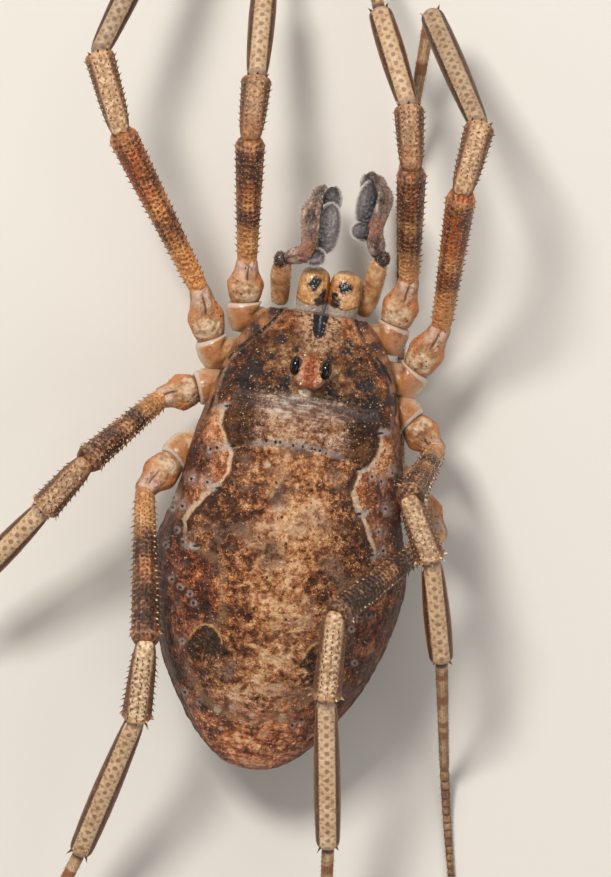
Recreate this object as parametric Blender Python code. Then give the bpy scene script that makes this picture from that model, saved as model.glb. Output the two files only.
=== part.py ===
# Harvestman of the genus Graecophalangium, a gravid female at life size, standing on a level floor.
# The head points to -Y and the back is up. The origin is on the floor, under the middle of the leg span.
# Shapes are drawn in millimetres in the body's own frame and scaled to metres when they are placed.

import math
import random

import bmesh
import bpy
from mathutils import Matrix, Vector

# Driving dimensions, in millimetres, with angles in degrees
MM = 0.001
GAP = 0.1                      # between neighbours; a leg here is only half a millimetre thick
SOCKET_GAP = 0.04              # round each eye
SPAN_CENTRE = (1.97, 1.37)     # the middle of the leg span, seen in the body's frame

# Body outline seen from above: place along the body, then half width
BODY_HALF_WIDTH = ((-0.25, 0.87), (0.1, 1.2), (0.5, 1.45), (1.15, 1.66), (2.2, 1.92), (3.2, 2.05),
                   (4.3, 2.31), (5.3, 2.2), (6.3, 1.88), (7.2, 1.36), (7.6, 1.04), (7.9, 0.7),
                   (8.06, 0.4), (8.13, 0.14))
BODY_TOP = ((-0.25, 2.28), (0.4, 2.62), (1.2, 2.86), (2.2, 3.02), (3.2, 3.32), (4.6, 3.6),
            (5.6, 3.56), (6.6, 3.2), (7.4, 2.68), (7.9, 2.24), (8.13, 1.86))
BODY_WIDEST_HEIGHT = ((-0.25, 2.06), (1.2, 2.1), (2.2, 2.05), (3.2, 1.8), (4.6, 1.7), (6.4, 1.65),
                      (8.13, 1.72))
BELLY = ((2.2, 1.4), (2.7, 0.82), (3.3, 0.58), (4.5, 0.5), (5.8, 0.58), (6.8, 0.84), (7.6, 1.2),
         (8.13, 1.62))
FRONT_Y = -0.25
WAIST_Y = 2.2                  # where the prosoma ends and the abdomen begins
REAR_Y = 8.13
SHELL_EDGE = 0.12              # thickness of the carapace along its rim
SHELL_ARCH = 0.85              # fullness of the carapace's dome: 1 is round, less is fuller
SHELL_UNDER = (-0.96, -0.45, 0.45, 0.96)   # corners of its underside, as shares of the half width
SHELL_STATIONS = 12
SAC_STATIONS = 19
SAC_SIDES = 28

# The core under the carapace: place along it, then share of its half width
CORE_HALF_WIDTH = 0.8
CORE_BOTTOM = 1.0
CORE_SHAPE = ((-0.2, 0.84), (-0.05, 0.95), (0.9, 1.0), (2.15, 1.0))
CORE_SQUARENESS = 0.6

# The genital operculum: place along it, then share of its half width
OPERCULUM_HALF_WIDTH = 0.4
OPERCULUM_BOTTOM = 0.66
OPERCULUM_TOP = 0.9
OPERCULUM_SHAPE = ((0.75, 0.45), (0.95, 0.8), (1.5, 1.0), (2.6, 1.1), (3.6, 1.1))

OCULARIUM_Y = 0.84
OCULARIUM_TOP = 3.3
OCULARIUM_HALF_SIZE = (0.23, 0.36)
OCULARIUM_SHAPE = ((0.0, 1.1), (0.45, 1.0), (0.75, 0.92), (0.93, 0.68), (1.0, 0.35))   # rise, then share
OCULARIUM_SUNK = 0.2           # how deep its foot is sunk in the carapace
OCULARIUM_SPINES = (-0.5, -0.1, 0.3, 0.7)   # places of the tubercles in each of its two rows
OCULARIUM_SPINE_LENGTH = 0.1
EYE_RADIUS = 0.14
EYE_PLACE = (0.235, 0.78, 3.08)

# Leg pairs from front to back: lengths of femur, patella, tibia, metatarsus and tarsus
LENGTHS = {1: (2.5, 1.2, 2.05, 2.5, 3.4), 2: (3.45, 1.5, 3.0, 3.2, 5.6),
           3: (2.3, 1.22, 2.05, 2.95, 3.6), 4: (3.2, 1.6, 3.05, 3.6, 4.8)}
COXA_ROOT = {1: (0.5, 0.3, 1.3), 2: (0.5, 0.75, 1.3), 3: (0.5, 1.3, 1.3), 4: (0.55, 1.85, 1.3)}
COXA_TIP = {1: (1.36, -0.13, 1.68), 2: (1.84, 0.6, 1.7), 3: (1.9, 1.42, 1.66), 4: (2.17, 2.75, 1.75)}
METATARSUS_TIP_HEIGHT = 0.42

# Stance of each leg: side (+1 is the animal's left), foot of the femur, then azimuth and elevation
# of femur, patella and tibia, azimuth of the metatarsus, and azimuth and sideways curl of the tarsus
STANCE = {
    ("left", 1): (1, (1.43, -0.93, 1.75), (-83, 29.5), (-87, -22), (-86, -24), -89, (-94, -12)),
    ("right", 1): (-1, (-1.51, -1.03, 1.75), (-82, 38), (-79, -20), (-65, -24.5), -70, (-76, -18)),
    ("left", 2): (1, (2.19, -0.3, 1.85), (-54.7, 24.7), (-65.5, -11), (-106.5, -16), -104, (-92, 24)),
    ("right", 2): (-1, (-2.21, -0.29, 1.85), (-89, 46.4), (-97, -33.5), (-59.5, -40.3), 89, (98, 2)),
    ("left", 3): (1, (2.57, 1.71, 1.75), (50, 39.5), (56, -22), (54.4, -24), 56, (60, 14)),
    ("right", 3): (-1, (-2.46, 1.91, 1.75), (67.6, 64.3), (119, -15), (105, -27.3), 101.3, (101.5, 4)),
    ("left", 4): (1, (2.62, 3.4, 2.1), (100, 31.8), (91, -30.4), (75.7, -27.5), 72, (74, -12)),
    ("right", 4): (-1, (-2.72, 3.4, 2.1), (45.7, 43.6), (92.6, -18), (99.6, -27.8), 97, (99, 12)),
}

# Half thickness of each segment: place along it from 0 to 1, then half width
COXA_SHAPE = ((0.0, 0.2), (0.35, 0.25), (0.65, 0.3), (0.85, 0.34), (0.96, 0.3), (1.0, 0.2))
TROCHANTER_SHAPE = ((0.0, 0.19), (0.2, 0.26), (0.5, 0.29), (0.8, 0.28), (1.0, 0.2))
SHAPES = {
    "femur": ((0.0, 0.18), (0.12, 0.2), (0.45, 0.235), (0.8, 0.265), (0.95, 0.265), (1.0, 0.2)),
    "patella": ((0.0, 0.18), (0.18, 0.23), (0.55, 0.26), (0.85, 0.28), (1.0, 0.21)),
    "tibia": ((0.0, 0.19), (0.12, 0.24), (0.55, 0.29), (0.9, 0.26), (1.0, 0.2)),
    "metatarsus": ((0.0, 0.2), (0.06, 0.22), (0.5, 0.2), (0.96, 0.19), (1.0, 0.16)),
}
TARSUS_RADIUS = (0.18, 0.07)   # at its root and at its tip
TARSUS_SETTLES = 1.2           # length over which the tarsus comes down to the floor
TARSUS_RINGS = 12
SEGMENT_SIDES = {"coxa": 10, "trochanter": 8, "femur": 8, "patella": 8, "metatarsus": 6, "tarsus": 6}
CORNER_BLUNT = 12              # degrees by which each corner of a tibia is blunted to both sides
FEMUR_BOW = 0.05               # how far the middle of a femur stands up from a straight line
TROCHANTER_REACH = 0.12        # how far the trochanter runs into the femur, which is one piece with it
FEMUR_ROOT = 0.1               # how far the femur runs back into the trochanter

# Spines: rows round each segment, as angle from its side towards its top, first and last place, count
SPINE_ROWS = {
    "trochanter": ((90, 0.35, 0.7, 2), (20, 0.45, 0.45, 1), (160, 0.55, 0.55, 1)),
    "femur": ((90, 0.16, 0.9, 4), (45, 0.22, 0.93, 4), (135, 0.1, 0.86, 4), (0, 0.3, 0.92, 3),
              (180, 0.2, 0.8, 3)),
    "patella": ((90, 0.3, 0.6, 2), (50, 0.25, 0.88, 2), (130, 0.45, 0.9, 2), (5, 0.4, 0.9, 2),
                (175, 0.35, 0.88, 2)),
    "tibia": ((54, 0.2, 0.75, 2), (126, 0.35, 0.7, 2), (342, 0.3, 0.95, 2), (198, 0.25, 0.95, 2)),
}
SPINE_LENGTH = {"trochanter": 0.14, "femur": 0.19, "patella": 0.18, "tibia": 0.15}
SPINE_RADIUS = 0.05
SPINE_ROOT = 0.08              # how deep a spine's root is sunk
SPINE_LEAN = 36                # towards the segment's outer end
SPINE_SEAT = 0.93              # foot of a spine, as a share of the segment's half width there
SPINE_SEED = 7

# Mouthparts. A chelicera's rings: place along the body, height, half width, half depth
CHELICERA_X = 0.29             # from the middle plane to the middle of each one
CHELICERA_BASE = ((-0.36, 1.6, 0.2, 0.17), (-0.46, 1.62, 0.245, 0.23), (-0.74, 1.66, 0.25, 0.24),
                  (-0.86, 1.67, 0.21, 0.2))
CHELICERA_HAND = ((-1.06, 1.8, 0.1, 0.07), (-1.07, 1.74, 0.2, 0.1), (-1.08, 1.5, 0.235, 0.12),
                  (-1.08, 1.25, 0.22, 0.12), (-1.05, 1.02, 0.16, 0.11), (-1.02, 0.9, 0.09, 0.08))
FINGER_LENGTH = 0.36
FINGER_RADIUS = 0.055
FINGER_TIP_RADIUS = 0.015
FINGER_APART = 0.055           # half the distance between the roots of the two fingers
FINGER_BOW = 0.03              # how far each finger's middle stands outwards
FINGER_TIP_SHIFT = (-0.02, 0.1)   # of the tip from the root: inwards, and back towards the body

# Pedipalps: paths of the femur and of the outer piece, and half thickness along each
PALP_FEMUR = {
    "left": ((0.74, -0.35, 1.24), (0.78, -0.6, 1.4), (0.8, -0.85, 1.72), (0.79, -1.06, 1.98)),
    "right": ((-0.76, -0.35, 1.24), (-0.85, -0.6, 1.32), (-0.89, -0.95, 1.6), (-0.92, -1.32, 1.95)),
}
PALP_FEMUR_HALF = (0.15, 0.185, 0.17, 0.15)
PALP_FEMUR_LOBE = {"left": (0.9, -1.04, 1.9), "right": (-1.02, -1.34, 1.86)}
PALP_OUTER = {
    "left": ((0.64, -1.16, 2.1), (0.5, -1.2, 2.15), (0.37, -1.3, 2.17), (0.38, -1.55, 2.12),
             (0.45, -1.98, 1.98), (0.42, -2.14, 1.86), (0.34, -2.4, 1.5), (0.26, -2.54, 0.95)),
    "right": ((-0.86, -1.48, 2.06), (-0.79, -1.66, 2.12), (-0.75, -1.88, 2.1), (-0.76, -2.1, 2.04),
              (-0.8, -2.46, 1.92), (-0.76, -2.58, 1.8), (-0.68, -2.76, 1.46), (-0.58, -2.86, 0.95)),
}
PALP_OUTER_HALF = (0.12, 0.18, 0.17, 0.16, 0.21, 0.15, 0.12, 0.04)
# Each lobe of the outer piece: centre, half size across, along and up, and azimuth
PALP_LOBES = {
    "left": (((0.2, -1.24, 2.1), (0.12, 0.13, 0.12), 90), ((0.1, -1.8, 2.0), (0.15, 0.42, 0.16), 96),
             ((0.1, -2.34, 1.62), (0.1, 0.2, 0.16), 96)),
    "right": (((-0.52, -1.79, 2.05), (0.12, 0.13, 0.12), 90), ((-0.56, -2.24, 1.94), (0.15, 0.4, 0.16), 84),
              ((-0.54, -2.68, 1.56), (0.1, 0.2, 0.16), 84)),
}
PALP_FEMUR_LOBE_SIZE = (0.12, 0.15, 0.13)

# Colours, as red, green and blue, and roughness
FINISHES = {
    "carapace": ((0.2, 0.12, 0.075), 0.6), "abdomen": ((0.25, 0.16, 0.09), 0.65),
    "eye": ((0.01, 0.01, 0.012), 0.08), "chelicera": ((0.5, 0.3, 0.11), 0.35),
    "pedipalp": ((0.38, 0.22, 0.12), 0.4), "coxa": ((0.48, 0.27, 0.12), 0.35),
    "femur": ((0.33, 0.2, 0.12), 0.55), "patella": ((0.27, 0.16, 0.1), 0.55),
    "tibia": ((0.5, 0.38, 0.25), 0.5), "metatarsus": ((0.35, 0.22, 0.13), 0.5),
    "tarsus": ((0.3, 0.18, 0.1), 0.5),
}

for leftover in list(bpy.data.objects):
    bpy.data.objects.remove(leftover)


def smooth(points, at):
    """Reads a smooth curve through the points (place, value) at one place."""
    places = [point[0] for point in points]
    values = [point[1] for point in points]
    if at <= places[0]:
        return values[0]
    if at >= places[-1]:
        return values[-1]
    last = len(points) - 1
    i = max(k for k in range(last) if places[k] <= at)

    def slope(k):
        low, high = max(k - 1, 0), min(k + 1, last)
        return (values[high] - values[low]) / (places[high] - places[low])

    step = places[i + 1] - places[i]
    t = (at - places[i]) / step
    return ((2 * t**3 - 3 * t**2 + 1) * values[i] + (t**3 - 2 * t**2 + t) * step * slope(i)
            + (3 * t**2 - 2 * t**3) * values[i + 1] + (t**3 - t**2) * step * slope(i + 1))


def aim(azimuth, elevation):
    """Unit vector of a heading in the floor's plane, raised by an elevation."""
    turn, rise = math.radians(azimuth), math.radians(elevation)
    return Vector((math.cos(turn) * math.cos(rise), math.sin(turn) * math.cos(rise), math.sin(rise)))


def loft(rings):
    """Makes one closed skin over a list of rings of points, with a flat cap at each end."""
    bm = bmesh.new()
    loops = [[bm.verts.new(point) for point in ring] for ring in rings]
    for near, far in zip(loops, loops[1:]):
        for i in range(len(near)):
            j = (i + 1) % len(near)
            bm.faces.new((near[i], near[j], far[j], far[i]))
    bm.faces.new(reversed(loops[0]))
    bm.faces.new(loops[-1])
    bmesh.ops.recalc_face_normals(bm, faces=bm.faces)
    mesh = bpy.data.meshes.new("piece")
    bm.to_mesh(mesh)
    bm.free()
    return mesh


def across(centre, along, half_width, half_height, angles, upright=Vector((0, 0, 1))):
    """A ring of points square to a heading, one at each angle, counted from the side towards the top."""
    side = upright.cross(along).normalized()
    top = along.cross(side).normalized()
    return [centre + side * (half_width * math.cos(a)) + top * (half_height * math.sin(a)) for a in angles]


def even_angles(sides):
    return [2 * math.pi * i / sides for i in range(sides)]


def five_sided_angles():
    """Corners of a flat-topped five-sided bar, each corner blunted into two."""
    blunt = math.radians(CORNER_BLUNT)
    corners = [math.radians(54 + 72 * i) for i in range(5)]
    return [corner + turn for corner in corners for turn in (-blunt, blunt)]


def slide_to_plane(ring, along, point, normal):
    """Moves each point of a ring along the heading until it lies in a plane."""
    return [corner + along * ((point - corner).dot(normal) / along.dot(normal)) for corner in ring]


def bar(start, end, shape, angles, before, after, gap_before, gap_after, bow=0.0, grow=0.0):
    """
    Skin of one straight segment. Its two ends are cut half way between its own heading and that of
    the segment before and after it, so that bent joints still meet face to face across the gap.
    """
    along = (end - start).normalized()
    length = (end - start).length
    start_plane = (along + before).normalized()
    end_plane = (along + after).normalized()
    first, last = shape[0][1] + grow, shape[-1][1] + grow
    lead = gap_before + first * math.tan(along.angle(start_plane))
    tail = gap_after + last * math.tan(along.angle(end_plane))
    top = along.cross(Vector((0, 0, 1)).cross(along).normalized()).normalized()
    rings = []
    for place, half in shape:
        reach = lead + place * (length - lead - tail)
        centre = start + along * reach + top * (bow * math.sin(math.pi * place))
        rings.append(across(centre, along, half + grow, half + grow, angles))
    rings[0] = slide_to_plane(rings[0], along, start + start_plane * gap_before, start_plane)
    rings[-1] = slide_to_plane(rings[-1], along, end - end_plane * gap_after, end_plane)
    return loft(rings)


def rings_along(path, halves, sides, upright=Vector((0, 0, 1))):
    """Rings of points square to a bent path, with a half width and half height at each of its points."""
    rings = []
    for i, centre in enumerate(path):
        along = (path[min(i + 1, len(path) - 1)] - path[max(i - 1, 0)]).normalized()
        rings.append(across(centre, along, halves[i][0], halves[i][1], even_angles(sides), upright))
    return rings


def spine(foot, heading, length):
    """A four-sided spine that stands on a surface with its root sunk in it."""
    bm = bmesh.new()
    base = [bm.verts.new(point) for point in
            across(foot - heading * SPINE_ROOT, heading, SPINE_RADIUS, SPINE_RADIUS, even_angles(4),
                   Vector((0.3, 0.2, 1)).normalized())]
    tip = bm.verts.new(foot + heading * length)
    for i in range(4):
        bm.faces.new((base[i], base[(i + 1) % 4], tip))
    bm.faces.new(reversed(base))
    bmesh.ops.recalc_face_normals(bm, faces=bm.faces)
    mesh = bpy.data.meshes.new("spine")
    bm.to_mesh(mesh)
    bm.free()
    return mesh


def spines_along(kind, start, end, shape, seed, bow=0.0):
    """Rows of spines on one segment, leaning towards its outer end, each a little unlike the next."""
    draw = random.Random(seed)
    along = (end - start).normalized()
    side = Vector((0, 0, 1)).cross(along).normalized()
    top = along.cross(side).normalized()
    lean = math.radians(SPINE_LEAN)
    spines = []
    for angle, first, last, count in SPINE_ROWS[kind]:
        for i in range(count):
            share = first + (last - first) * (i / max(count - 1, 1)) + draw.uniform(-0.03, 0.03)
            turn = math.radians(angle + draw.uniform(-9, 9))
            normal = side * math.cos(turn) + top * math.sin(turn)
            centre = start.lerp(end, share) + top * (bow * math.sin(math.pi * share))
            foot = centre + normal * (smooth(shape, share) * SPINE_SEAT)
            heading = normal * math.cos(lean) + along * math.sin(lean)
            spines.append(spine(foot, heading, SPINE_LENGTH[kind] * draw.uniform(0.85, 1.15)))
    return spines


def keep_largest(mesh):
    """Deletes all but the closed surface that holds the most, such as a scrap or a sealed hollow."""
    bm = bmesh.new()
    bm.from_mesh(mesh)
    unseen = set(bm.faces)
    surfaces = []
    while unseen:
        surface, edge_of_search = set(), [unseen.pop()]
        while edge_of_search:
            face = edge_of_search.pop()
            surface.add(face)
            for edge in face.edges:
                for other in edge.link_faces:
                    if other in unseen:
                        unseen.discard(other)
                        edge_of_search.append(other)
        surfaces.append(surface)

    def reach(surface):
        corners = [vert.co for face in surface for vert in face.verts]
        return sum(max(c[k] for c in corners) - min(c[k] for c in corners) for k in range(3))

    surfaces.sort(key=reach)
    scraps = [face for surface in surfaces[:-1] for face in surface]
    if scraps:
        bmesh.ops.delete(bm, geom=scraps, context="FACES")
        bm.to_mesh(mesh)
    bm.free()


def boolean(mesh, others, operation):
    """Joins the other meshes to the first, or cuts them out of it, and returns the result as a mesh."""
    body = bpy.data.objects.new("body", mesh)
    bpy.context.scene.collection.objects.link(body)
    group = bpy.data.collections.new("others")
    bpy.context.scene.collection.children.link(group)
    for other in others:
        tool = bpy.data.objects.new("tool", other)
        tool.hide_render = True
        tool.display_type = "WIRE"
        group.objects.link(tool)
    modifier = body.modifiers.new("join", "BOOLEAN")
    modifier.operation = operation
    modifier.operand_type = "COLLECTION"
    modifier.collection = group
    modifier.solver = "EXACT"
    bpy.context.view_layer.update()
    result = bpy.data.meshes.new_from_object(body.evaluated_get(bpy.context.evaluated_depsgraph_get()))
    for tool in list(group.objects):
        bpy.data.objects.remove(tool)
    bpy.data.collections.remove(group)
    bpy.data.objects.remove(body)
    keep_largest(result)
    return result


def place(name, finish, mesh, origin, heading, parent):
    """Stands a mesh, drawn in the body's frame, as an object with its origin and X axis at its joint."""
    origin = Vector(origin)
    azimuth = math.atan2(heading.y, heading.x)
    elevation = math.asin(max(-1.0, min(1.0, heading.z)))
    obj = bpy.data.objects.new(name, mesh)
    bpy.context.scene.collection.objects.link(obj)
    obj.rotation_euler = (0, -elevation, azimuth)
    own_frame = Matrix.Translation(origin) @ obj.rotation_euler.to_matrix().to_4x4()
    mesh.name = name
    mesh.transform(Matrix.Scale(MM, 4) @ own_frame.inverted())
    mesh.shade_smooth()
    mesh.set_sharp_from_angle(angle=math.radians(42))
    obj.location = origin * MM
    obj.parent = parent
    colour, roughness = FINISHES[finish]
    material = bpy.data.materials.new(name)
    material.use_nodes = True
    shader = material.node_tree.nodes["Principled BSDF"]
    shader.inputs["Base Color"].default_value = (*colour, 1)
    shader.inputs["Roughness"].default_value = roughness
    shader.inputs["Metallic"].default_value = 0
    mesh.materials.clear()
    mesh.materials.append(material)
    return obj


def body_places(low, high, count):
    """Places along the body, closer together towards both ends."""
    return [low + (high - low) * (0.5 - 0.5 * math.cos(math.pi * i / (count - 1))) for i in range(count)]


# Prosoma: the domed carapace, which overhangs a narrower core that carries the limbs

def carapace_shell(grow=0.0):
    rings = []
    arch = [math.pi * i / 12 for i in range(13)]
    for y in body_places(FRONT_Y, WAIST_Y - GAP / 2, SHELL_STATIONS):
        half = smooth(BODY_HALF_WIDTH, y) + grow
        rim = smooth(BODY_WIDEST_HEIGHT, y)
        top = smooth(BODY_TOP, y) + grow
        ring = [Vector((half * math.cos(a), y, rim + (top - rim) * math.sin(a)**SHELL_ARCH)) for a in arch]
        under = rim - SHELL_EDGE - grow
        ring += [Vector((half * side, y, under)) for side in SHELL_UNDER]
        rings.append(ring)
    return loft(rings)


def prosoma_core(grow=0.0):
    rings = []
    for y, share in CORE_SHAPE:
        middle = (CORE_BOTTOM + BODY_TOP[0][1]) / 2
        half_height = middle - CORE_BOTTOM + grow
        ring = []
        for a in even_angles(16):
            x = math.copysign(abs(math.cos(a))**CORE_SQUARENESS, math.cos(a))
            z = math.copysign(abs(math.sin(a))**CORE_SQUARENESS, math.sin(a))
            ring.append(Vector((x * (CORE_HALF_WIDTH + grow) * share, y, middle + z * half_height)))
        rings.append(ring)
    return loft(rings)


def ocularium():
    """The eye hill: a blunt oval dome whose foot is sunk in the carapace."""
    rings = []
    foot = smooth(BODY_TOP, OCULARIUM_Y) - OCULARIUM_SUNK
    for rise, share in OCULARIUM_SHAPE:
        z = foot + (OCULARIUM_TOP - foot) * rise
        rings.append([Vector((math.cos(a) * OCULARIUM_HALF_SIZE[0] * share,
                              OCULARIUM_Y + math.sin(a) * OCULARIUM_HALF_SIZE[1] * share, z))
                      for a in even_angles(14)])
    return loft(rings)


def ball(centre, radius, segments, rings):
    bm = bmesh.new()
    pose = Matrix.Translation(Vector(centre)) @ Matrix.Rotation(math.pi / 2, 4, "Y")
    bmesh.ops.create_uvsphere(bm, u_segments=segments, v_segments=rings, radius=radius, matrix=pose)
    mesh = bpy.data.meshes.new("ball")
    bm.to_mesh(mesh)
    bm.free()
    return mesh


def lobe(centre, half_sizes, azimuth):
    """An egg-shaped swelling: half size across, along its azimuth, and up."""
    across_size, along_size, up_size = half_sizes
    mesh = ball((0, 0, 0), 1, 8, 6)
    mesh.transform(Matrix.Translation(Vector(centre)) @ Matrix.Rotation(math.radians(azimuth - 90), 4, "Z")
                   @ Matrix.Diagonal((across_size, along_size, up_size, 1)))
    return mesh


# Abdomen: an egg-shaped sac with the genital operculum as a tongue under the coxae

def abdomen_sac():
    rings = []
    for y in body_places(WAIST_Y + GAP / 2, REAR_Y, SAC_STATIONS):
        half = smooth(BODY_HALF_WIDTH, y)
        widest = smooth(BODY_WIDEST_HEIGHT, y)
        up = smooth(BODY_TOP, y) - widest
        down = widest - smooth(BELLY, y)
        ring = []
        for a in even_angles(SAC_SIDES):
            reach = up if math.sin(a) > 0 else down
            ring.append(Vector((half * math.cos(a), y, widest + reach * math.sin(a))))
        rings.append(ring)
    return loft(rings)


def genital_operculum():
    rings = []
    middle = (OPERCULUM_BOTTOM + OPERCULUM_TOP) / 2
    thick = (OPERCULUM_TOP - OPERCULUM_BOTTOM) / 2
    for y, share in OPERCULUM_SHAPE:
        rings.append([Vector((math.cos(a) * OPERCULUM_HALF_WIDTH * share, y, middle + math.sin(a) * thick))
                      for a in even_angles(12)])
    return loft(rings)


def ocularium_spines():
    """Two rows of small tubercles along the top of the eye hill, one on each side of its groove."""
    spines = []
    for side in (1, -1):
        for along in OCULARIUM_SPINES:
            foot = Vector((side * OCULARIUM_HALF_SIZE[0] * 0.4,
                           OCULARIUM_Y + along * OCULARIUM_HALF_SIZE[1],
                           OCULARIUM_TOP - 0.03 - 0.1 * along**2))
            spines.append(spine(foot, Vector((side * 0.35, -0.1, 1)).normalized(), OCULARIUM_SPINE_LENGTH))
    return spines


# Limbs

def coxa_mesh(pair, side, trochanter_heading, grow=0.0):
    root, tip = Vector(COXA_ROOT[pair]), Vector(COXA_TIP[pair])
    root.x *= side
    tip.x *= side
    along = (tip - root).normalized()
    return bar(root, tip, COXA_SHAPE, even_angles(SEGMENT_SIDES["coxa"]), along, trochanter_heading, 0,
               GAP / 2 - grow, grow=grow)


def tarsus_path(start, azimuth, curl, length):
    """Points along a tarsus that sinks from its root to the floor and then lies on it."""
    path, halves = [], []
    place = Vector((start.x, start.y))
    for i in range(TARSUS_RINGS):
        share = i / (TARSUS_RINGS - 1)
        radius = TARSUS_RADIUS[0] + (TARSUS_RADIUS[1] - TARSUS_RADIUS[0]) * share
        falling = max(0.0, 1 - share * length / TARSUS_SETTLES)**2
        resting = radius * math.sin(math.pi / 3)
        path.append(Vector((place.x, place.y, resting + (start.z - resting) * falling)))
        halves.append((radius, radius))
        turn = math.radians(azimuth + curl * share)
        place += Vector((math.cos(turn), math.sin(turn))) * (length / (TARSUS_RINGS - 1))
    return path, halves


def build_leg(side_name, pair, root):
    side, femur_foot, femur_aim, patella_aim, tibia_aim, metatarsus_azimuth, tarsus_aim = (
        STANCE[(side_name, pair)])
    lengths = LENGTHS[pair]
    coxa_root, coxa_tip = Vector(COXA_ROOT[pair]), Vector(COXA_TIP[pair])
    coxa_root.x *= side
    coxa_tip.x *= side
    joints = [Vector(femur_foot)]
    for length, (azimuth, elevation) in zip(lengths, (femur_aim, patella_aim, tibia_aim)):
        joints.append(joints[-1] + aim(azimuth, elevation) * length)
    drop = math.degrees(math.asin((joints[-1].z - METATARSUS_TIP_HEIGHT) / lengths[3]))
    joints.append(joints[-1] + aim(metatarsus_azimuth, -drop) * lengths[3])
    path, halves = tarsus_path(joints[-1], tarsus_aim[0], tarsus_aim[1], lengths[4])
    headings = [(far - near).normalized() for near, far in zip(joints, joints[1:])]
    headings.append((path[1] - path[0]).normalized())
    coxa_heading = (coxa_tip - coxa_root).normalized()
    trochanter_heading = (joints[0] - coxa_tip).normalized()
    prefix = f"leg_{side_name}_{pair}_"

    coxa = coxa_mesh(pair, side, trochanter_heading)
    coxa = boolean(coxa, [carapace_shell(GAP), prosoma_core(GAP)], "DIFFERENCE")
    place(prefix + "coxa", "coxa", coxa, coxa_root, coxa_heading, root)

    trochanter_end = joints[0] + trochanter_heading * TROCHANTER_REACH
    trochanter = bar(coxa_tip, trochanter_end, TROCHANTER_SHAPE, even_angles(SEGMENT_SIDES["trochanter"]),
                     coxa_heading, trochanter_heading, GAP / 2, 0)
    femur = bar(joints[0] - headings[0] * FEMUR_ROOT, joints[1], SHAPES["femur"],
                even_angles(SEGMENT_SIDES["femur"]), headings[0], headings[1], 0, GAP / 2, bow=FEMUR_BOW)
    seed = SPINE_SEED + pair * 10 + side
    spines = spines_along("trochanter", coxa_tip, joints[0], TROCHANTER_SHAPE, seed)
    spines += spines_along("femur", joints[0], joints[1], SHAPES["femur"], seed + 100, FEMUR_BOW)
    femur = boolean(femur, [trochanter] + spines, "UNION")
    place(prefix + "femur", "femur", femur, joints[0], headings[0], root)

    for i, kind in ((1, "patella"), (2, "tibia"), (3, "metatarsus")):
        angles = five_sided_angles() if kind == "tibia" else even_angles(SEGMENT_SIDES[kind])
        mesh = bar(joints[i], joints[i + 1], SHAPES[kind], angles, headings[i - 1], headings[i + 1],
                   GAP / 2, GAP / 2)
        if kind in SPINE_ROWS:
            spines = spines_along(kind, joints[i], joints[i + 1], SHAPES[kind], seed + 100 * (i + 1))
            mesh = boolean(mesh, spines, "UNION")
        place(prefix + kind, kind, mesh, joints[i], headings[i], root)

    joint_plane = (headings[3] + headings[4]).normalized()
    rings = rings_along(path, halves, SEGMENT_SIDES["tarsus"])
    rings[0] = slide_to_plane(rings[0], headings[4], joints[4] + joint_plane * GAP / 2, joint_plane)
    place(prefix + "tarsus", "tarsus", loft(rings), joints[4], headings[4], root)


root = bpy.data.objects.new("harvestman", None)
bpy.context.scene.collection.objects.link(root)
root.location = (-SPAN_CENTRE[0] * MM, -SPAN_CENTRE[1] * MM, 0)
LEVEL = Vector((1, 0, 0))

sockets = [ball((side * EYE_PLACE[0], EYE_PLACE[1], EYE_PLACE[2]), EYE_RADIUS + SOCKET_GAP, 10, 8)
           for side in (1, -1)]
prosoma = boolean(carapace_shell(), [prosoma_core(), ocularium()] + ocularium_spines(), "UNION")
prosoma = boolean(prosoma, sockets, "DIFFERENCE")
place("carapace", "carapace", prosoma, (0, 0, 0), LEVEL, root)
for side_name, side in (("left", 1), ("right", -1)):
    centre = (side * EYE_PLACE[0], EYE_PLACE[1], EYE_PLACE[2])
    place(f"eye_{side_name}", "eye", ball(centre, EYE_RADIUS, 12, 8), centre, LEVEL, root)

rear_coxae = []
for side_name, side in (("left", 1), ("right", -1)):
    foot = Vector(STANCE[(side_name, 4)][1])
    tip = Vector(COXA_TIP[4])
    tip.x *= side
    rear_coxae.append(coxa_mesh(4, side, (foot - tip).normalized(), grow=GAP))
abdomen = boolean(abdomen_sac(), [genital_operculum()], "UNION")
abdomen = boolean(abdomen, rear_coxae, "DIFFERENCE")
place("abdomen", "abdomen", abdomen, (0, WAIST_Y, 0), LEVEL, root)

for side_name in ("left", "right"):
    for pair in (1, 2, 3, 4):
        build_leg(side_name, pair, root)


# Mouthparts: each chelicera has a base and a hanging hand with two fingers

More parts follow.
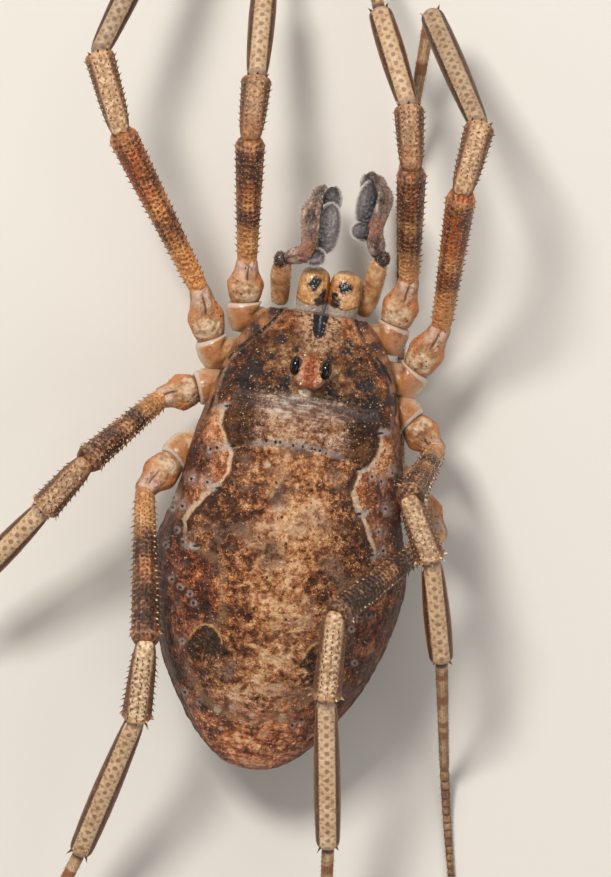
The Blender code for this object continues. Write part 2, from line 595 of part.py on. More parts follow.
def chelicera(side_name, side):
    base_path = [Vector((side * CHELICERA_X, y, z)) for y, z, _, _ in CHELICERA_BASE]
    base = loft(rings_along(base_path, [(wide, high) for _, _, wide, high in CHELICERA_BASE], 12))
    place(f"chelicera_{side_name}_base", "chelicera", base, base_path[0], Vector((0, -1, 0)), root)
    hand_path = [Vector((side * CHELICERA_X, y, z)) for y, z, _, _ in CHELICERA_HAND]
    hand = loft(rings_along(hand_path, [(wide, deep) for _, _, wide, deep in CHELICERA_HAND], 12,
                            Vector((0, -1, 0))))
    fingers = []
    for lean in (-1, 1):
        knuckle = hand_path[-2] + Vector((FINGER_APART * lean, 0, 0))
        finger_tip = knuckle + Vector((FINGER_TIP_SHIFT[0] * lean, FINGER_TIP_SHIFT[1], -FINGER_LENGTH))
        middle = (knuckle + finger_tip) / 2 + Vector((FINGER_BOW * lean, 0, 0))
        radii = (FINGER_RADIUS, FINGER_RADIUS * 0.8, FINGER_TIP_RADIUS)
        halves = [(radius, radius) for radius in radii]
        fingers.append(loft(rings_along([knuckle, middle, finger_tip], halves, 6, Vector((0, -1, 0)))))
    hand = boolean(hand, fingers, "UNION")
    place(f"chelicera_{side_name}_hand", "chelicera", hand, hand_path[0], Vector((0, 0, -1)), root)


# Pedipalps: trochanter and femur in one piece, then patella, tibia and tarsus in one. Bristly lobes
# swell from the femur's outer end and from the inner side of the patella, the tibia and the tarsus

def pedipalp(side_name, side):
    femur_path = [Vector(point) for point in PALP_FEMUR[side_name]]
    femur = loft(rings_along(femur_path, [(half, half) for half in PALP_FEMUR_HALF], 8))
    femur = boolean(femur, [lobe(PALP_FEMUR_LOBE[side_name], PALP_FEMUR_LOBE_SIZE, 90)], "UNION")
    place(f"pedipalp_{side_name}_femur", "pedipalp", femur, femur_path[0], Vector((0, -1, 0)), root)
    outer_path = [Vector(point) for point in PALP_OUTER[side_name]]
    outer = loft(rings_along(outer_path, [(half, half) for half in PALP_OUTER_HALF], 8,
                             Vector((0, -0.5, 1)).normalized()))
    outer = boolean(outer, [lobe(*sizes) for sizes in PALP_LOBES[side_name]], "UNION")
    place(f"pedipalp_{side_name}_outer", "pedipalp", outer, outer_path[0], Vector((0, -1, 0)), root)


for side_name, side in (("left", 1), ("right", -1)):
    chelicera(side_name, side)
    pedipalp(side_name, side)
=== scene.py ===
# A harvestman of the genus Graecophalangium, dressed over its fixed frame: body, eyes, mouthparts and eight
# legs, on a plain floor. Pieces are shaped a thousand times life size, so one unit is a millimetre, in the
# body's own frame, with the head towards -Y, and are reduced and set in place when they are finished.
import math
import random

import bpy
import numpy as np
from mathutils import Matrix, Vector
from mathutils.bvhtree import BVHTree


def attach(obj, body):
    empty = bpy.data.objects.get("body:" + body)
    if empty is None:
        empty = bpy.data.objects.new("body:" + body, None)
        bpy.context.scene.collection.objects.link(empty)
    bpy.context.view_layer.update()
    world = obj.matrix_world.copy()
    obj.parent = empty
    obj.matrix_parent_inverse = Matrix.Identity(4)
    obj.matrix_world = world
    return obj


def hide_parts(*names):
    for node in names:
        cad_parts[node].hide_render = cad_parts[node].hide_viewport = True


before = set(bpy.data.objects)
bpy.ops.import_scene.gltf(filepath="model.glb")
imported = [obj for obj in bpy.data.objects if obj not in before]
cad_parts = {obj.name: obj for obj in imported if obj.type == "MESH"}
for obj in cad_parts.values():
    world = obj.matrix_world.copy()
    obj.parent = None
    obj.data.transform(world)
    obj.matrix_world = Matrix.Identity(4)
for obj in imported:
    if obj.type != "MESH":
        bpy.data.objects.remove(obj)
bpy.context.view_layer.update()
bpy.ops.object.select_all(action="DESELECT")

# The studio: a plain pale floor, a large soft lamp beside the lens, a weaker one from the head end, and a
# pale surround. The camera looks straight down from 140 mm, turned so that the head points up the frame.
bpy.ops.mesh.primitive_plane_add(size=1.2, location=(0, 0, 0))
floor = bpy.context.object
floor.name = "floor"
floor_paint = bpy.data.materials.new("floor_paint")
floor_paint.use_nodes = True
floor_shader = floor_paint.node_tree.nodes["Principled BSDF"]
floor_shader.inputs["Base Color"].default_value = (0.74, 0.7, 0.64, 1)
floor_shader.inputs["Roughness"].default_value = 0.75
floor_grain = floor_paint.node_tree.nodes.new("ShaderNodeTexNoise")
floor_grain.inputs["Scale"].default_value = 900
floor_bump = floor_paint.node_tree.nodes.new("ShaderNodeBump")
floor_bump.inputs["Strength"].default_value = 0.04
floor_bump.inputs["Distance"].default_value = 0.0001
floor_paint.node_tree.links.new(floor_grain.outputs["Fac"], floor_bump.inputs["Height"])
floor_paint.node_tree.links.new(floor_bump.outputs["Normal"], floor_shader.inputs["Normal"])
floor.data.materials.append(floor_paint)

body_to_row = Vector((-1.97, -1.37, 0))        # from the body's frame to the frame of the whole model
view_centre = (Vector((-0.1, 2.05, 0)) + body_to_row) * 0.001
camera = bpy.data.objects.new("camera", bpy.data.cameras.new("camera"))
bpy.context.scene.collection.objects.link(camera)
camera.location = view_centre + Vector((0, 0, 0.142))
camera.rotation_euler = (0, 0, math.radians(188.8))
picture_height = 15.79                        # millimetres, at 140 mm in front of the lens
camera.data.lens = 36 * 140 / picture_height
camera.data.clip_start = 0.01
bpy.context.scene.camera = camera

for name, place, size, watts, tint in (("key_lamp", (0.045, -0.05, 0.11), 0.03, 0.135, (1, 0.97, 0.93)),
                                       ("fill_lamp", (-0.07, 0.05, 0.09), 0.09, 0.03, (0.93, 0.96, 1)),
                                       ("head_lamp", (-0.01, -0.1, 0.05), 0.06, 0.025, (1, 0.98, 0.95))):
    lamp = bpy.data.objects.new(name, bpy.data.lights.new(name, "AREA"))
    bpy.context.scene.collection.objects.link(lamp)
    lamp.location = place
    lamp.rotation_euler = (view_centre - Vector(place)).to_track_quat("-Z", "Y").to_euler()
    lamp.data.size = size
    lamp.data.energy = watts
    lamp.data.color = tint
surround = bpy.data.worlds.new("surround")
surround.use_nodes = True
sky = surround.node_tree.nodes["Background"].inputs
sky["Color"].default_value = (1, 0.98, 0.95, 1)
sky["Strength"].default_value = 0.3
bpy.context.scene.world = surround
bpy.context.scene.view_settings.view_transform = "Standard"


# Body skin: the leathery back and belly in one piece, from the front rim of the carapace over the eye hill
# to the rear end. It is a ball drawn out along the body and pressed to the outline of each cross-section,
# with the grooves between its plates, the folds of its sides and two shallow pits near its rear.
body_half_width = (                           # places along the body, each with the half width there
    (-0.25, 0.87), (0.1, 1.2), (0.5, 1.45), (1.15, 1.66), (2.2, 1.92), (3.2, 2.05), (4.3, 2.31),
    (5.3, 2.2), (6.3, 1.88), (7.2, 1.36), (7.6, 1.04), (7.9, 0.7), (8.06, 0.4), (8.13, 0.14))
body_top = (                                  # places along the body, each with the height there
    (-0.25, 2.28), (0.4, 2.62), (1.2, 2.86), (2.2, 3.02), (3.2, 3.32), (4.6, 3.6), (5.6, 3.56),
    (6.6, 3.2), (7.4, 2.68), (7.9, 2.24), (8.13, 1.86))
body_widest = ((-0.25, 2.06), (1.2, 2.1), (2.2, 2.05), (3.2, 1.8), (4.6, 1.7), (6.4, 1.65), (8.13, 1.72))
belly = (
    (1.9, 1.0), (2.3, 0.92), (2.7, 0.82), (3.3, 0.58), (4.5, 0.5), (5.8, 0.58), (6.8, 0.84), (7.6, 1.2),
    (8.13, 1.62))
# Where the rings of the ball come to lie along the body
skin_places = ((0, -0.21), (0.3, 1.5), (0.55, 3.6), (0.8, 6.0), (0.93, 7.5), (1, 8.125))
eye_hill = (0.85, 0.262, 0.37, 0.5)           # place along the body, half width, half length, height
skin_rings = 300
front_cap = 0.05                              # share of the ball that closes the front
core_height = 1.75
core_half_width, core_underside = 0.78, 1.0   # of the part below the carapace, between the coxae
rear_pits = ((1.12, 6.05), (-0.98, 6.05))
# Grooves between the plates: place along the body, how far they bend back at the sides, depth and width
grooves = (
    (1.23, 0.0, 0.03, 0.035), (1.74, 0.06, 0.016, 0.03), (2.15, 0.14, 0.03, 0.04),
    (3.12, 0.06, 0.03, 0.07), (3.82, 0.05, 0.025, 0.07), (4.6, 0.03, 0.03, 0.09),
    (5.35, 0.02, 0.03, 0.09), (6.1, -0.02, 0.03, 0.08), (6.75, -0.06, 0.035, 0.06),
    (7.15, -0.1, 0.03, 0.05), (7.5, -0.14, 0.025, 0.04), (7.8, -0.16, 0.02, 0.03))
# Marks of the back, as places across and along it
saddle = (
    (0.89, 0.41), (1.11, 0.65), (1.25, 0.92), (1.28, 1.29), (1.32, 1.55), (1.39, 1.69), (1.4, 1.84),
    (1.42, 2.05), (1.32, 2.19), (1.25, 2.36), (1.12, 2.49), (1.14, 2.62), (1.14, 2.84), (1.26, 3.07),
    (1.5, 3.36), (1.68, 3.61), (1.78, 3.84), (1.74, 4.11), (1.47, 4.31), (1.02, 4.44), (0.97, 4.98),
    (0.86, 5.42), (1.22, 5.93), (1.37, 6.41), (1.01, 6.93), (0.77, 7.09), (0.11, 7.25), (-0.47, 7.01),
    (-0.8, 6.7), (-1.1, 6.3), (-1.15, 5.9), (-0.9, 5.45), (-0.95, 5.0), (-1.21, 4.55), (-1.59, 4.12),
    (-1.62, 3.85), (-1.5, 3.68), (-1.37, 3.42), (-1.26, 3.23), (-1.14, 3.14), (-1.05, 2.9), (-1.11, 2.65),
    (-1.14, 2.46), (-1.27, 2.4), (-1.42, 2.13), (-1.42, 1.91), (-1.39, 1.61), (-1.32, 1.31),
    (-1.28, 1.04), (-1.22, 0.8), (-1.04, 0.52), (-0.83, 0.3), (-0.59, 0.13), (0, 0.08), (0.6, 0.2))
notches = (
    (1.37, 1.68), (1.16, 2.37), (1.31, 3.16), (1.55, 4.24), (-1.42, 1.75), (-1.14, 2.44), (-1.26, 3.23),
    (-1.6, 3.93))
ringed_dots = (
    (1.53, 3.09), (1.45, 2.45), (1.57, 2.5), (1.83, 3.07), (2.1, 3.46), (2.09, 3.64), (1.92, 3.58),
    (1.94, 4.02), (1.8, 4.21), (1.72, 5.02), (1.53, 5.11), (1.44, 5.27), (1.9, 4.92), (2.1, 4.32),
    (1.54, 5.98), (1.36, 6.9), (1.07, 7.03), (-1.39, 2.54), (-1.58, 2.6), (-1.73, 3.08), (-1.66, 3.5),
    (-1.8, 3.82), (-1.75, 2.42), (-0.66, 7.17), (-0.8, 7.05), (-1.72, 5.0), (-1.55, 5.1), (-1.45, 5.3),
    (-1.6, 5.9))
shield_edge = (
    (-0.2, 0.62), (0.1, 0.8), (0.3, 0.97), (0.5, 1.18), (0.75, 1.4), (1.1, 1.56), (1.6, 1.62),
    (1.95, 1.69), (2.4, 1.85))
coxal_knobs = ((0.97, 0.1), (1.34, 0.45), (1.58, 0.9), (1.74, 1.45))
coxal_darks = ((0.8, -0.13), (1.14, 0.24), (1.28, 0.62), (1.5, 1.12))
plain_dots = (
    (0.59, 2.19), (0.42, 2.19), (0.34, 2.18), (0.1, 2.2), (-0.07, 2.19), (-0.24, 2.2), (-0.3, 2.21),
    (-0.39, 2.22), (-0.5, 2.25), (0.3, 2.9), (-0.36, 2.95), (0.1, 3.5), (-0.05, 3.95), (0.45, 3.9),
    (-0.5, 4.15), (0.2, 4.6), (-0.3, 4.7), (0.35, 5.2), (-0.25, 5.3), (0.1, 5.8), (0.5, 6.2),
    (-0.35, 6.3))


def curve(points, at):
    """Reads a smooth line through the points (place, value) at many places at once."""
    places, values = np.array(points, float).T
    at = np.clip(at, places[0], places[-1])
    slope = np.empty_like(values)
    slope[1:-1] = (values[2:] - values[:-2]) / (places[2:] - places[:-2])
    slope[0] = (values[1] - values[0]) / (places[1] - places[0])
    slope[-1] = (values[-1] - values[-2]) / (places[-1] - places[-2])
    i = np.clip(np.searchsorted(places, at, side="right") - 1, 0, len(places) - 2)
    step = places[i + 1] - places[i]
    t = (at - places[i]) / step
    return ((2 * t**3 - 3 * t**2 + 1) * values[i] + (t**3 - 2 * t**2 + t) * step * slope[i]
            + (3 * t**2 - 2 * t**3) * values[i + 1] + (t**3 - t**2) * step * slope[i + 1])


def ease(low, high, at):
    """Rises smoothly from 0 at low to 1 at high."""
    t = np.clip((at - low) / (high - low), 0, 1)
    return t * t * (3 - 2 * t)


def hump(distance, width):
    """A rounded hill: 1 at no distance, and almost 0 at twice its width."""
    return np.exp(-(distance / width)**2)


def points_of(mesh):
    co = np.empty(len(mesh.vertices) * 3)
    mesh.vertices.foreach_get("co", co)
    return co.reshape(-1, 3)


def set_points(mesh, co):
    mesh.vertices.foreach_set("co", np.ascontiguousarray(co, dtype=np.float32).ravel())
    mesh.update()


def mark(mesh, name, values):
    """Keeps one number at each point of a mesh, for its finish to read."""
    layer = mesh.attributes.new(name, "FLOAT", "POINT")
    layer.data.foreach_set("value", np.ascontiguousarray(values, dtype=np.float32))


def inside_by(outline, x, y):
    """How far each place lies inside a closed outline, in millimetres; outside it is negative."""
    near = np.full(len(x), 9.0)
    within = np.zeros(len(x), bool)
    for (ax, ay), (bx, by) in zip(outline, outline[1:] + outline[:1]):
        t = np.clip(((x - ax) * (bx - ax) + (y - ay) * (by - ay)) / ((bx - ax)**2 + (by - ay)**2), 0, 1)
        near = np.minimum(near, np.hypot(x - ax - t * (bx - ax), y - ay - t * (by - ay)))
        crosses = (ay > y) != (by > y)
        within ^= crosses & (x < (bx - ax) * (y - ay) / (by - ay if by != ay else 1) + ax)
    return np.where(within, near, -near)


def nearest(spots, x, y):
    return np.min([np.hypot(x - sx, y - sy) for sx, sy in spots], axis=0)


def finish_piece(piece, name, stands_for, finish):
    """Reduces a finished piece to life size, sets it in its place and hangs it on the frame."""
    piece.name = name
    piece.data.name = name
    piece.data.transform(piece.matrix_basis)
    piece.matrix_basis = Matrix.Identity(4)
    piece.data.transform(Matrix.Scale(0.001, 4) @ Matrix.Translation(body_to_row))
    piece.data.materials.clear()
    piece.data.materials.append(finish)
    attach(piece, "root")
    if stands_for:
        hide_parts(*stands_for)
    return piece


bpy.ops.mesh.primitive_uv_sphere_add(segments=skin_rings, ring_count=skin_rings, radius=1, calc_uvs=False)
body_skin = bpy.context.object
ball = points_of(body_skin.data)
share = np.arccos(np.clip(ball[:, 2], -1, 1)) / np.pi
turn = np.mod(np.arctan2(ball[:, 1], ball[:, 0]) - np.pi / 2 + np.pi, 2 * np.pi) - np.pi
turn += np.pi / 2 - 0.45 * np.sin(turn)
along = np.clip((share - front_cap) / (1 - front_cap), 0, 1)
y = curve(skin_places, along)
closing = np.minimum(np.clip(share / front_cap, 0, 1), np.sqrt(np.clip((1 - along) / 0.008, 0, 1)))
half = curve(body_half_width, y) - 0.015
widest = curve(body_widest, y)
top = curve(body_top, y) - 0.01
side, up = np.cos(turn), np.sin(turn)
behind = ease(1.9, 2.9, y)
below = np.degrees(np.arcsin(np.clip(-up, 0, 1)))
core_x = (core_half_width * np.abs(side)**0.5
          + (half - core_half_width) * np.clip(1 - below / 30, 0, 1)**1.4)
core_z = widest - (widest - core_underside) * (below / 90)**1.25
x = np.where(up > 0, half * side, (1 - behind) * np.sign(side) * core_x + behind * half * side)
dome = widest + (top - widest) * np.clip(up, 0, 1)**(0.85 + 0.15 * behind)
sag = (1 - behind) * core_z + behind * (widest + (widest - curve(belly, y)) * up)
z = np.where(up > 0, dome, sag)
x *= closing
z = core_height + (z - core_height) * closing
y -= 0.04 * (1 - closing**2) * (share < 0.1)
upper = ease(0.05, 0.5, up)
hill_half = eye_hill[1] * (0.93 + 0.42 * ease(0.86, 1.02, y) - 0.12 * ease(0.7, 0.5, y))
from_hill = np.hypot(x / hill_half, (y - eye_hill[0]) / eye_hill[2])
hill = (1 - ease(0.78, 1.1, from_hill)) * upper
z += hill * eye_hill[3]
groove = 0.045 * hump(x, 0.045) + 0.16 * np.maximum(0, from_hill - 0.25)**2
z -= groove * (1 - ease(0.8, 1.0, from_hill)) * upper
for place, bend, depth, width in grooves:
    z -= depth * hump(y - place - bend * x**2, width) * upper * (1 - hill)
beyond = np.abs(x) - curve(shield_edge, y)
in_front = upper * (1 - ease(1.9, 2.3, y))
z -= 0.05 * hump(beyond - 0.03, 0.022) * in_front
knob = nearest(coxal_knobs, np.abs(x), y)
z += 0.06 * hump(knob, 0.085) * in_front
flank = ease(0.72, 0.98, np.abs(side)) * behind
for turns, depth in ((19, 0.012), (31, 0.007)):
    x += np.sign(x) * depth * flank * np.sin(turn * turns + 0.6 * np.sin(y * 2.3)) * ease(1.2, 2.4, y)
from_pits = [np.hypot((x - pit_x) / 0.3, (y - pit_y) / 0.42) for pit_x, pit_y in rear_pits]
for from_pit in from_pits:
    lip = 0.035 * hump(from_pit - 1.05, 0.22) * (y < 6.1)
    z += upper * (lip - 0.14 * (1 - ease(0.1, 1.0, from_pit)))
set_points(body_skin.data, np.stack([x, y, z], axis=1))
underneath = 0.5 * (up < 0)                    # keeps the marks of the back off the belly
from_notches = [np.hypot((x - nx) * 0.36, y - ny - 0.25 * (x - nx)) for nx, ny in notches]
for name, values in (("saddle", np.where(up > 0.05, inside_by(saddle, x, y), -1.5)),
                     ("notch", np.min(from_notches, axis=0) + underneath),
                     ("ringed", nearest(ringed_dots, x, y) + underneath),
                     ("dotted", nearest(plain_dots, x, y) + underneath),
                     ("hill", hill),
                     ("beyond", np.where(up < 0, 1, beyond)),
                     ("knob", knob + underneath),
                     ("ink", nearest(coxal_darks, np.abs(x), y) + underneath),
                     ("flank", np.where(up < 0, 1, np.abs(x) / np.maximum(half, 0.2))),
                     ("pit", np.min(from_pits, axis=0) + 4 * underneath)):
    mark(body_skin.data, name, values)


def applied(piece, kind, **settings):
    """Adds a modifier to the piece in hand and applies it."""
    modifier = piece.modifiers.new(kind.lower(), kind)
    for name, value in settings.items():
        setattr(modifier, name, value)
    bpy.ops.object.modifier_apply(modifier=modifier.name)


# Pebbled leather: two layers of low bumps are pressed into the mesh, and finer grain comes from the finish
for size, strength, kind in ((0.13, 0.03, "VORONOI"), (0.05, 0.014, "CLOUDS")):
    pebbles = bpy.data.textures.new("pebbles", kind)
    pebbles.noise_scale = size
    applied(body_skin, "DISPLACE", texture=pebbles, texture_coords="LOCAL", strength=strength,
            mid_level=1.0)
bpy.ops.object.shade_smooth()

tree = None


def start_finish(name):
    """Starts a finish, which the helpers below add nodes to, and gives it and where a point is on it."""
    global tree
    finish = bpy.data.materials.new(name)
    finish.use_nodes = True
    tree = finish.node_tree
    return finish, body_millimetres()


def end_finish(colour, roughness, *heights, soft=None, coat=None, specular=None):
    """Wires up the finish in hand: colour, roughness and relief, and if given how deep light sinks in
    (share, depths), a clear coat (share, roughness) and the shine."""
    sockets = tree.nodes["Principled BSDF"].inputs
    wire(sockets["Base Color"], colour)
    wire(sockets["Roughness"], roughness)
    if heights:
        wire(sockets["Normal"], relief(*heights))
    if soft:
        sockets["Subsurface Weight"].default_value, sockets["Subsurface Radius"].default_value = soft
    if coat:
        sockets["Coat Weight"].default_value, sockets["Coat Roughness"].default_value = coat
    if specular is not None:
        sockets["Specular IOR Level"].default_value = specular


def wire(socket, value):
    if isinstance(value, bpy.types.NodeSocket):
        tree.links.new(value, socket)
    elif isinstance(value, tuple) and len(value) == 3 and socket.type == "RGBA":
        socket.default_value = (*value, 1)
    else:
        socket.default_value = value


def add(kind, sockets=None, **settings):
    made = tree.nodes.new("ShaderNode" + kind)
    for name, value in settings.items():
        setattr(made, name, value)
    for name, value in (sockets or {}).items():
        wire(made.inputs[name], value)
    return made


def calc(how, *values):
    made = tree.nodes.new("ShaderNodeMath")
    made.operation = how
    for i, value in enumerate(values):
        wire(made.inputs[i], value)
    return made.outputs[0]


def plus(first, *others):
    for value in others:
        first = calc("ADD", first, value)
    return first


def times(first, *others):
    for value in others:
        first = calc("MULTIPLY", first, value)
    return first


def minus(first, second):
    return calc("SUBTRACT", first, second)


def unsigned(value):
    return calc("ABSOLUTE", value)


def span(across, along):
    """The distance of a point that lies so far across and so far along."""
    return calc("SQRT", plus(calc("POWER", across, 2.0), calc("POWER", along, 2.0)))


def stray(noise, amount):
    """A noise that goes as far below 0 as above it."""
    return times(minus(noise, 0.5), amount)


def fade(value, low, high):
    """Smooth share: 0 where the value is at low, 1 where it is at high."""
    made = add("MapRange", interpolation_type="SMOOTHSTEP")
    wire(made.inputs["Value"], value)
    made.inputs["From Min"].default_value = low
    made.inputs["From Max"].default_value = high
    return made.outputs[0]


def mixed(share, first, second, how="MIX"):
    made = tree.nodes.new("ShaderNodeMix")
    made.data_type = "RGBA"
    made.blend_type = how
    wire(made.inputs[0], share)
    wire(made.inputs[6], first)
    wire(made.inputs[7], second)
    return made.outputs[2]


def over(colour, paint, *shares):
    """A paint laid over a colour, as thickly as the product of the shares."""
    return mixed(times(*shares), colour, paint)


def tinted(colour, tint):
    return mixed(1.0, colour, tint, "MULTIPLY")


def shades(value, *stops):
    """Colours read off a scale of stops (place, colour)."""
    made = add("ValToRGB")
    while len(made.color_ramp.elements) < len(stops):
        made.color_ramp.elements.new(0.5)
    for element, (place, colour) in zip(made.color_ramp.elements, stops):
        element.position = place
        element.color = (*colour, 1)
    wire(made.inputs["Fac"], value)
    return made.outputs["Color"]


def cloud(at, scale, detail=2.0, rough=0.6):
    sockets = {"Vector": at, "Scale": scale, "Detail": detail, "Roughness": rough}
    return add("TexNoise", sockets).outputs["Fac"]


def cells(at, scale):
    """Distance from the middle of the nearest cell, from 0 to about 0.8."""
    return add("TexVoronoi", {"Vector": at, "Scale": scale}).outputs["Distance"]


def reading(name):
    return add("Attribute", attribute_name=name, attribute_type="GEOMETRY").outputs["Fac"]


def body_millimetres(stretch=(1, 1, 1)):
    """Where a point is, in the body's frame in millimetres, stretched along each axis."""
    at = add("TexCoord").outputs["Object"]
    scale = tuple(1000 * s for s in stretch)
    shift = tuple(-d * s for d, s in zip(body_to_row, stretch))
    return add("Mapping", {"Vector": at, "Scale": scale, "Location": shift}).outputs["Vector"]


def relief(*layers):
    """Bump from heights in millimetres, each given as (height, depth)."""
    total = plus(*(times(height, depth * 0.001) for height, depth in layers))
    return add("Bump", {"Height": total, "Distance": 1.0, "Strength": 1.0}).outputs["Normal"]


def spot(across, along, centre_x, centre_y, radius, soft=0.4):
    """1 at a place on the back, fading to 0 at a radius."""
    return fade(span(minus(across, centre_x), minus(along, centre_y)), radius, radius * soft)


skin_finish, at = start_finish("body_skin")
place = add("SeparateXYZ", {"Vector": at}).outputs
px, py = place[0], place[1]
abs_x = unsigned(px)
speckle = cloud(at, 15, 4, 0.72)
patch = cloud(at, 3.6, 3, 0.62)
broad = cloud(at, 1.3, 2)
streaks = cloud(body_millimetres((2.2, 15, 1)), 1.0, 4, 0.7)
warped = add("VectorMath", {0: at, 1: add("TexNoise", {"Vector": at, "Scale": 6.0}).outputs["Color"]},
             operation="ADD").outputs[0]
net = add("TexVoronoi", {"Vector": warped, "Scale": 7.5}, feature="DISTANCE_TO_EDGE").outputs["Distance"]
grains = cells(at, 11)
saddle_in, flank_share, beyond = reading("saddle"), reading("flank"), reading("beyond")
middle = fade(abs_x, 1.1, 0.1)
tone = plus(stray(speckle, 0.72), stray(patch, 1.1), stray(cloud(at, 8.5, 2), 1.15), stray(broad, 0.9),
            0.45, times(middle, 0.17))
netted = times(fade(net, 0.17, 0.02), plus(0.15, times(fade(abs_x, 0.4, 1.1), 0.2)))
tone = minus(tone, netted)
# Ground colours: within the saddle, outside it, in front, and on the band behind the carapace
inside = shades(tone, (0.12, (0.045, 0.017, 0.009)), (0.33, (0.15, 0.052, 0.02)),
                (0.48, (0.37, 0.15, 0.056)), (0.62, (0.6, 0.32, 0.145)), (0.84, (0.82, 0.6, 0.39)))
haze = times(fade(cloud(at, 2.2, 3), 0.5, 0.66), 0.42)
inside = over(inside, mixed(speckle, (0.15, 0.09, 0.066), (0.64, 0.46, 0.35)), haze)
inside = tinted(inside, (1.12, 0.98, 0.86))
for dark_y, size in ((3.2, 0.32), (4.15, 0.42)):
    inside = over(inside, (0.055, 0.04, 0.038), spot(px, py, 0.22, dark_y, size, 0.1), 0.55)
outside = shades(tone, (0.16, (0.024, 0.008, 0.004)), (0.36, (0.12, 0.03, 0.009)),
                 (0.52, (0.32, 0.1, 0.034)), (0.68, (0.52, 0.21, 0.08)), (0.88, (0.74, 0.46, 0.29)))
outside = over(outside, mixed(speckle, (0.05, 0.03, 0.03), (0.3, 0.2, 0.18)), haze, 1.1)
front = shades(plus(stray(tone, 0.9), 0.5), (0.14, (0.035, 0.016, 0.009)), (0.34, (0.11, 0.04, 0.017)),
               (0.5, (0.23, 0.088, 0.03)), (0.66, (0.38, 0.17, 0.068)), (0.86, (0.66, 0.42, 0.25)))
for dark_x, dark_y, size in ((1.0, 0.95, 0.24), (0.6, 0.36, 0.16), (0.42, 1.14, 0.17), (1.2, 1.2, 0.2),
                             (0.72, 0.74, 0.13), (0.3, 0.5, 0.1)):
    blot = spot(abs_x, plus(py, stray(patch, 0.5)), dark_x, dark_y, size, 0.5)
    front = over(front, (0.03, 0.027, 0.028), blot, fade(speckle, 0.64, 0.5), 0.95)
band = shades(plus(stray(streaks, 1.0), times(tone, 0.8)), (0.05, (0.09, 0.04, 0.024)),
              (0.25, (0.36, 0.17, 0.1)), (0.42, (0.68, 0.43, 0.29)), (0.65, (0.9, 0.76, 0.63)))
rust = shades(tone, (0.2, (0.05, 0.017, 0.008)), (0.5, (0.38, 0.14, 0.05)), (0.75, (0.76, 0.5, 0.31)))
band = over(band, rust, fade(py, 1.55, 1.8), fade(patch, 0.42, 0.58))
band_dark = shades(tone, (0.2, (0.03, 0.012, 0.005)), (0.7, (0.22, 0.085, 0.028)))
band = over(band, band_dark, fade(plus(abs_x, stray(patch, 0.5)), 0.6, 1.05))
# The curved rear line of the band, the ribbed tail behind it, and the pale line between them
line_y = minus(py, times(px, px, 0.14))
ribbed = shades(plus(stray(streaks, 1.0), times(tone, 0.9)), (0.08, (0.04, 0.014, 0.008)),
                (0.3, (0.2, 0.06, 0.026)), (0.5, (0.5, 0.19, 0.08)), (0.75, (0.85, 0.56, 0.38)))
back = mixed(fade(plus(py, stray(patch, 0.8)), 6.5, 7.0), inside, ribbed)
veil = times(fade(py, 1.78, 1.4), fade(streaks, 0.6, 0.42))
band = over(band, mixed(speckle, (0.05, 0.036, 0.032), (0.24, 0.185, 0.17)), veil, 0.75)
colour = mixed(fade(plus(py, stray(patch, 0.3)), 1.22, 1.42), front, band)
colour = over(colour, back, fade(line_y, 2.16, 2.24))
pale_line = times(fade(unsigned(minus(line_y, 2.2)), 0.09, 0.02), fade(abs_x, 1.0, 0.6))
colour = over(colour, mixed(speckle, (0.2, 0.17, 0.16), (0.52, 0.46, 0.42)), pale_line, 0.7)
# The saddle laid into the darker ground, with its wandering edge
wander = plus(saddle_in, stray(speckle, 0.07), stray(patch, 0.07))
outer = mixed(fade(py, 6.9, 7.4), outside, ribbed)
bright = times(fade(saddle_in, -0.5, -0.1), fade(py, 4.0, 3.0), fade(py, 1.5, 2.1))
russet = shades(plus(tone, 0.2), (0.15, (0.2, 0.075, 0.033)), (0.4, (0.42, 0.15, 0.055)),
                (0.56, (0.6, 0.27, 0.115)), (0.74, (0.84, 0.58, 0.41)))
outer = over(outer, russet, bright, 0.85)
outer = over(outer, front, fade(plus(py, stray(patch, 0.6)), 1.75, 1.3))
# Painted shade: darker towards the outline, where the sides turn down
outer = over(outer, (0.06, 0.026, 0.016), fade(flank_share, 0.82, 1.0), 0.5)
belly_tone = shades(tone, (0.2, (0.1, 0.05, 0.028)), (0.5, (0.3, 0.18, 0.1)), (0.8, (0.5, 0.36, 0.23)))
outer = tinted(outer, (1.34, 1.08, 0.84))
outer = over(outer, belly_tone, fade(saddle_in, -1.25, -1.45))
hind = fade(py, 4.0, 4.8)
soft_edge = times(wander, minus(1.0, times(hind, 0.8)))
raggedly = times(hind, plus(stray(patch, 0.35), stray(speckle, 0.3)))
colour = mixed(fade(minus(soft_edge, raggedly), -0.04, 0.04), outer, colour)
# Its dark inner shadow, pale border and soft hem
uneven = plus(wander, stray(cloud(at, 2.6), 0.2))
ends = times(fade(py, 1.55, 1.85), fade(py, 4.3, 3.7))
shadow = times(fade(unsigned(minus(wander, 0.03)), 0.06, 0.01), ends)
colour = over(colour, (0.07, 0.026, 0.01), shadow, 0.7)
rim = times(fade(uneven, -0.105, -0.07), fade(wander, -0.005, -0.03), ends)
colour = over(colour, mixed(speckle, (0.7, 0.4, 0.19), (0.95, 0.8, 0.6)), rim, 0.92)
hem = times(fade(wander, -0.12, -0.03), fade(wander, 0.1, 0.02), fade(py, 4.0, 4.6))
colour = over(colour, (0.45, 0.27, 0.13), hem, 0.4)
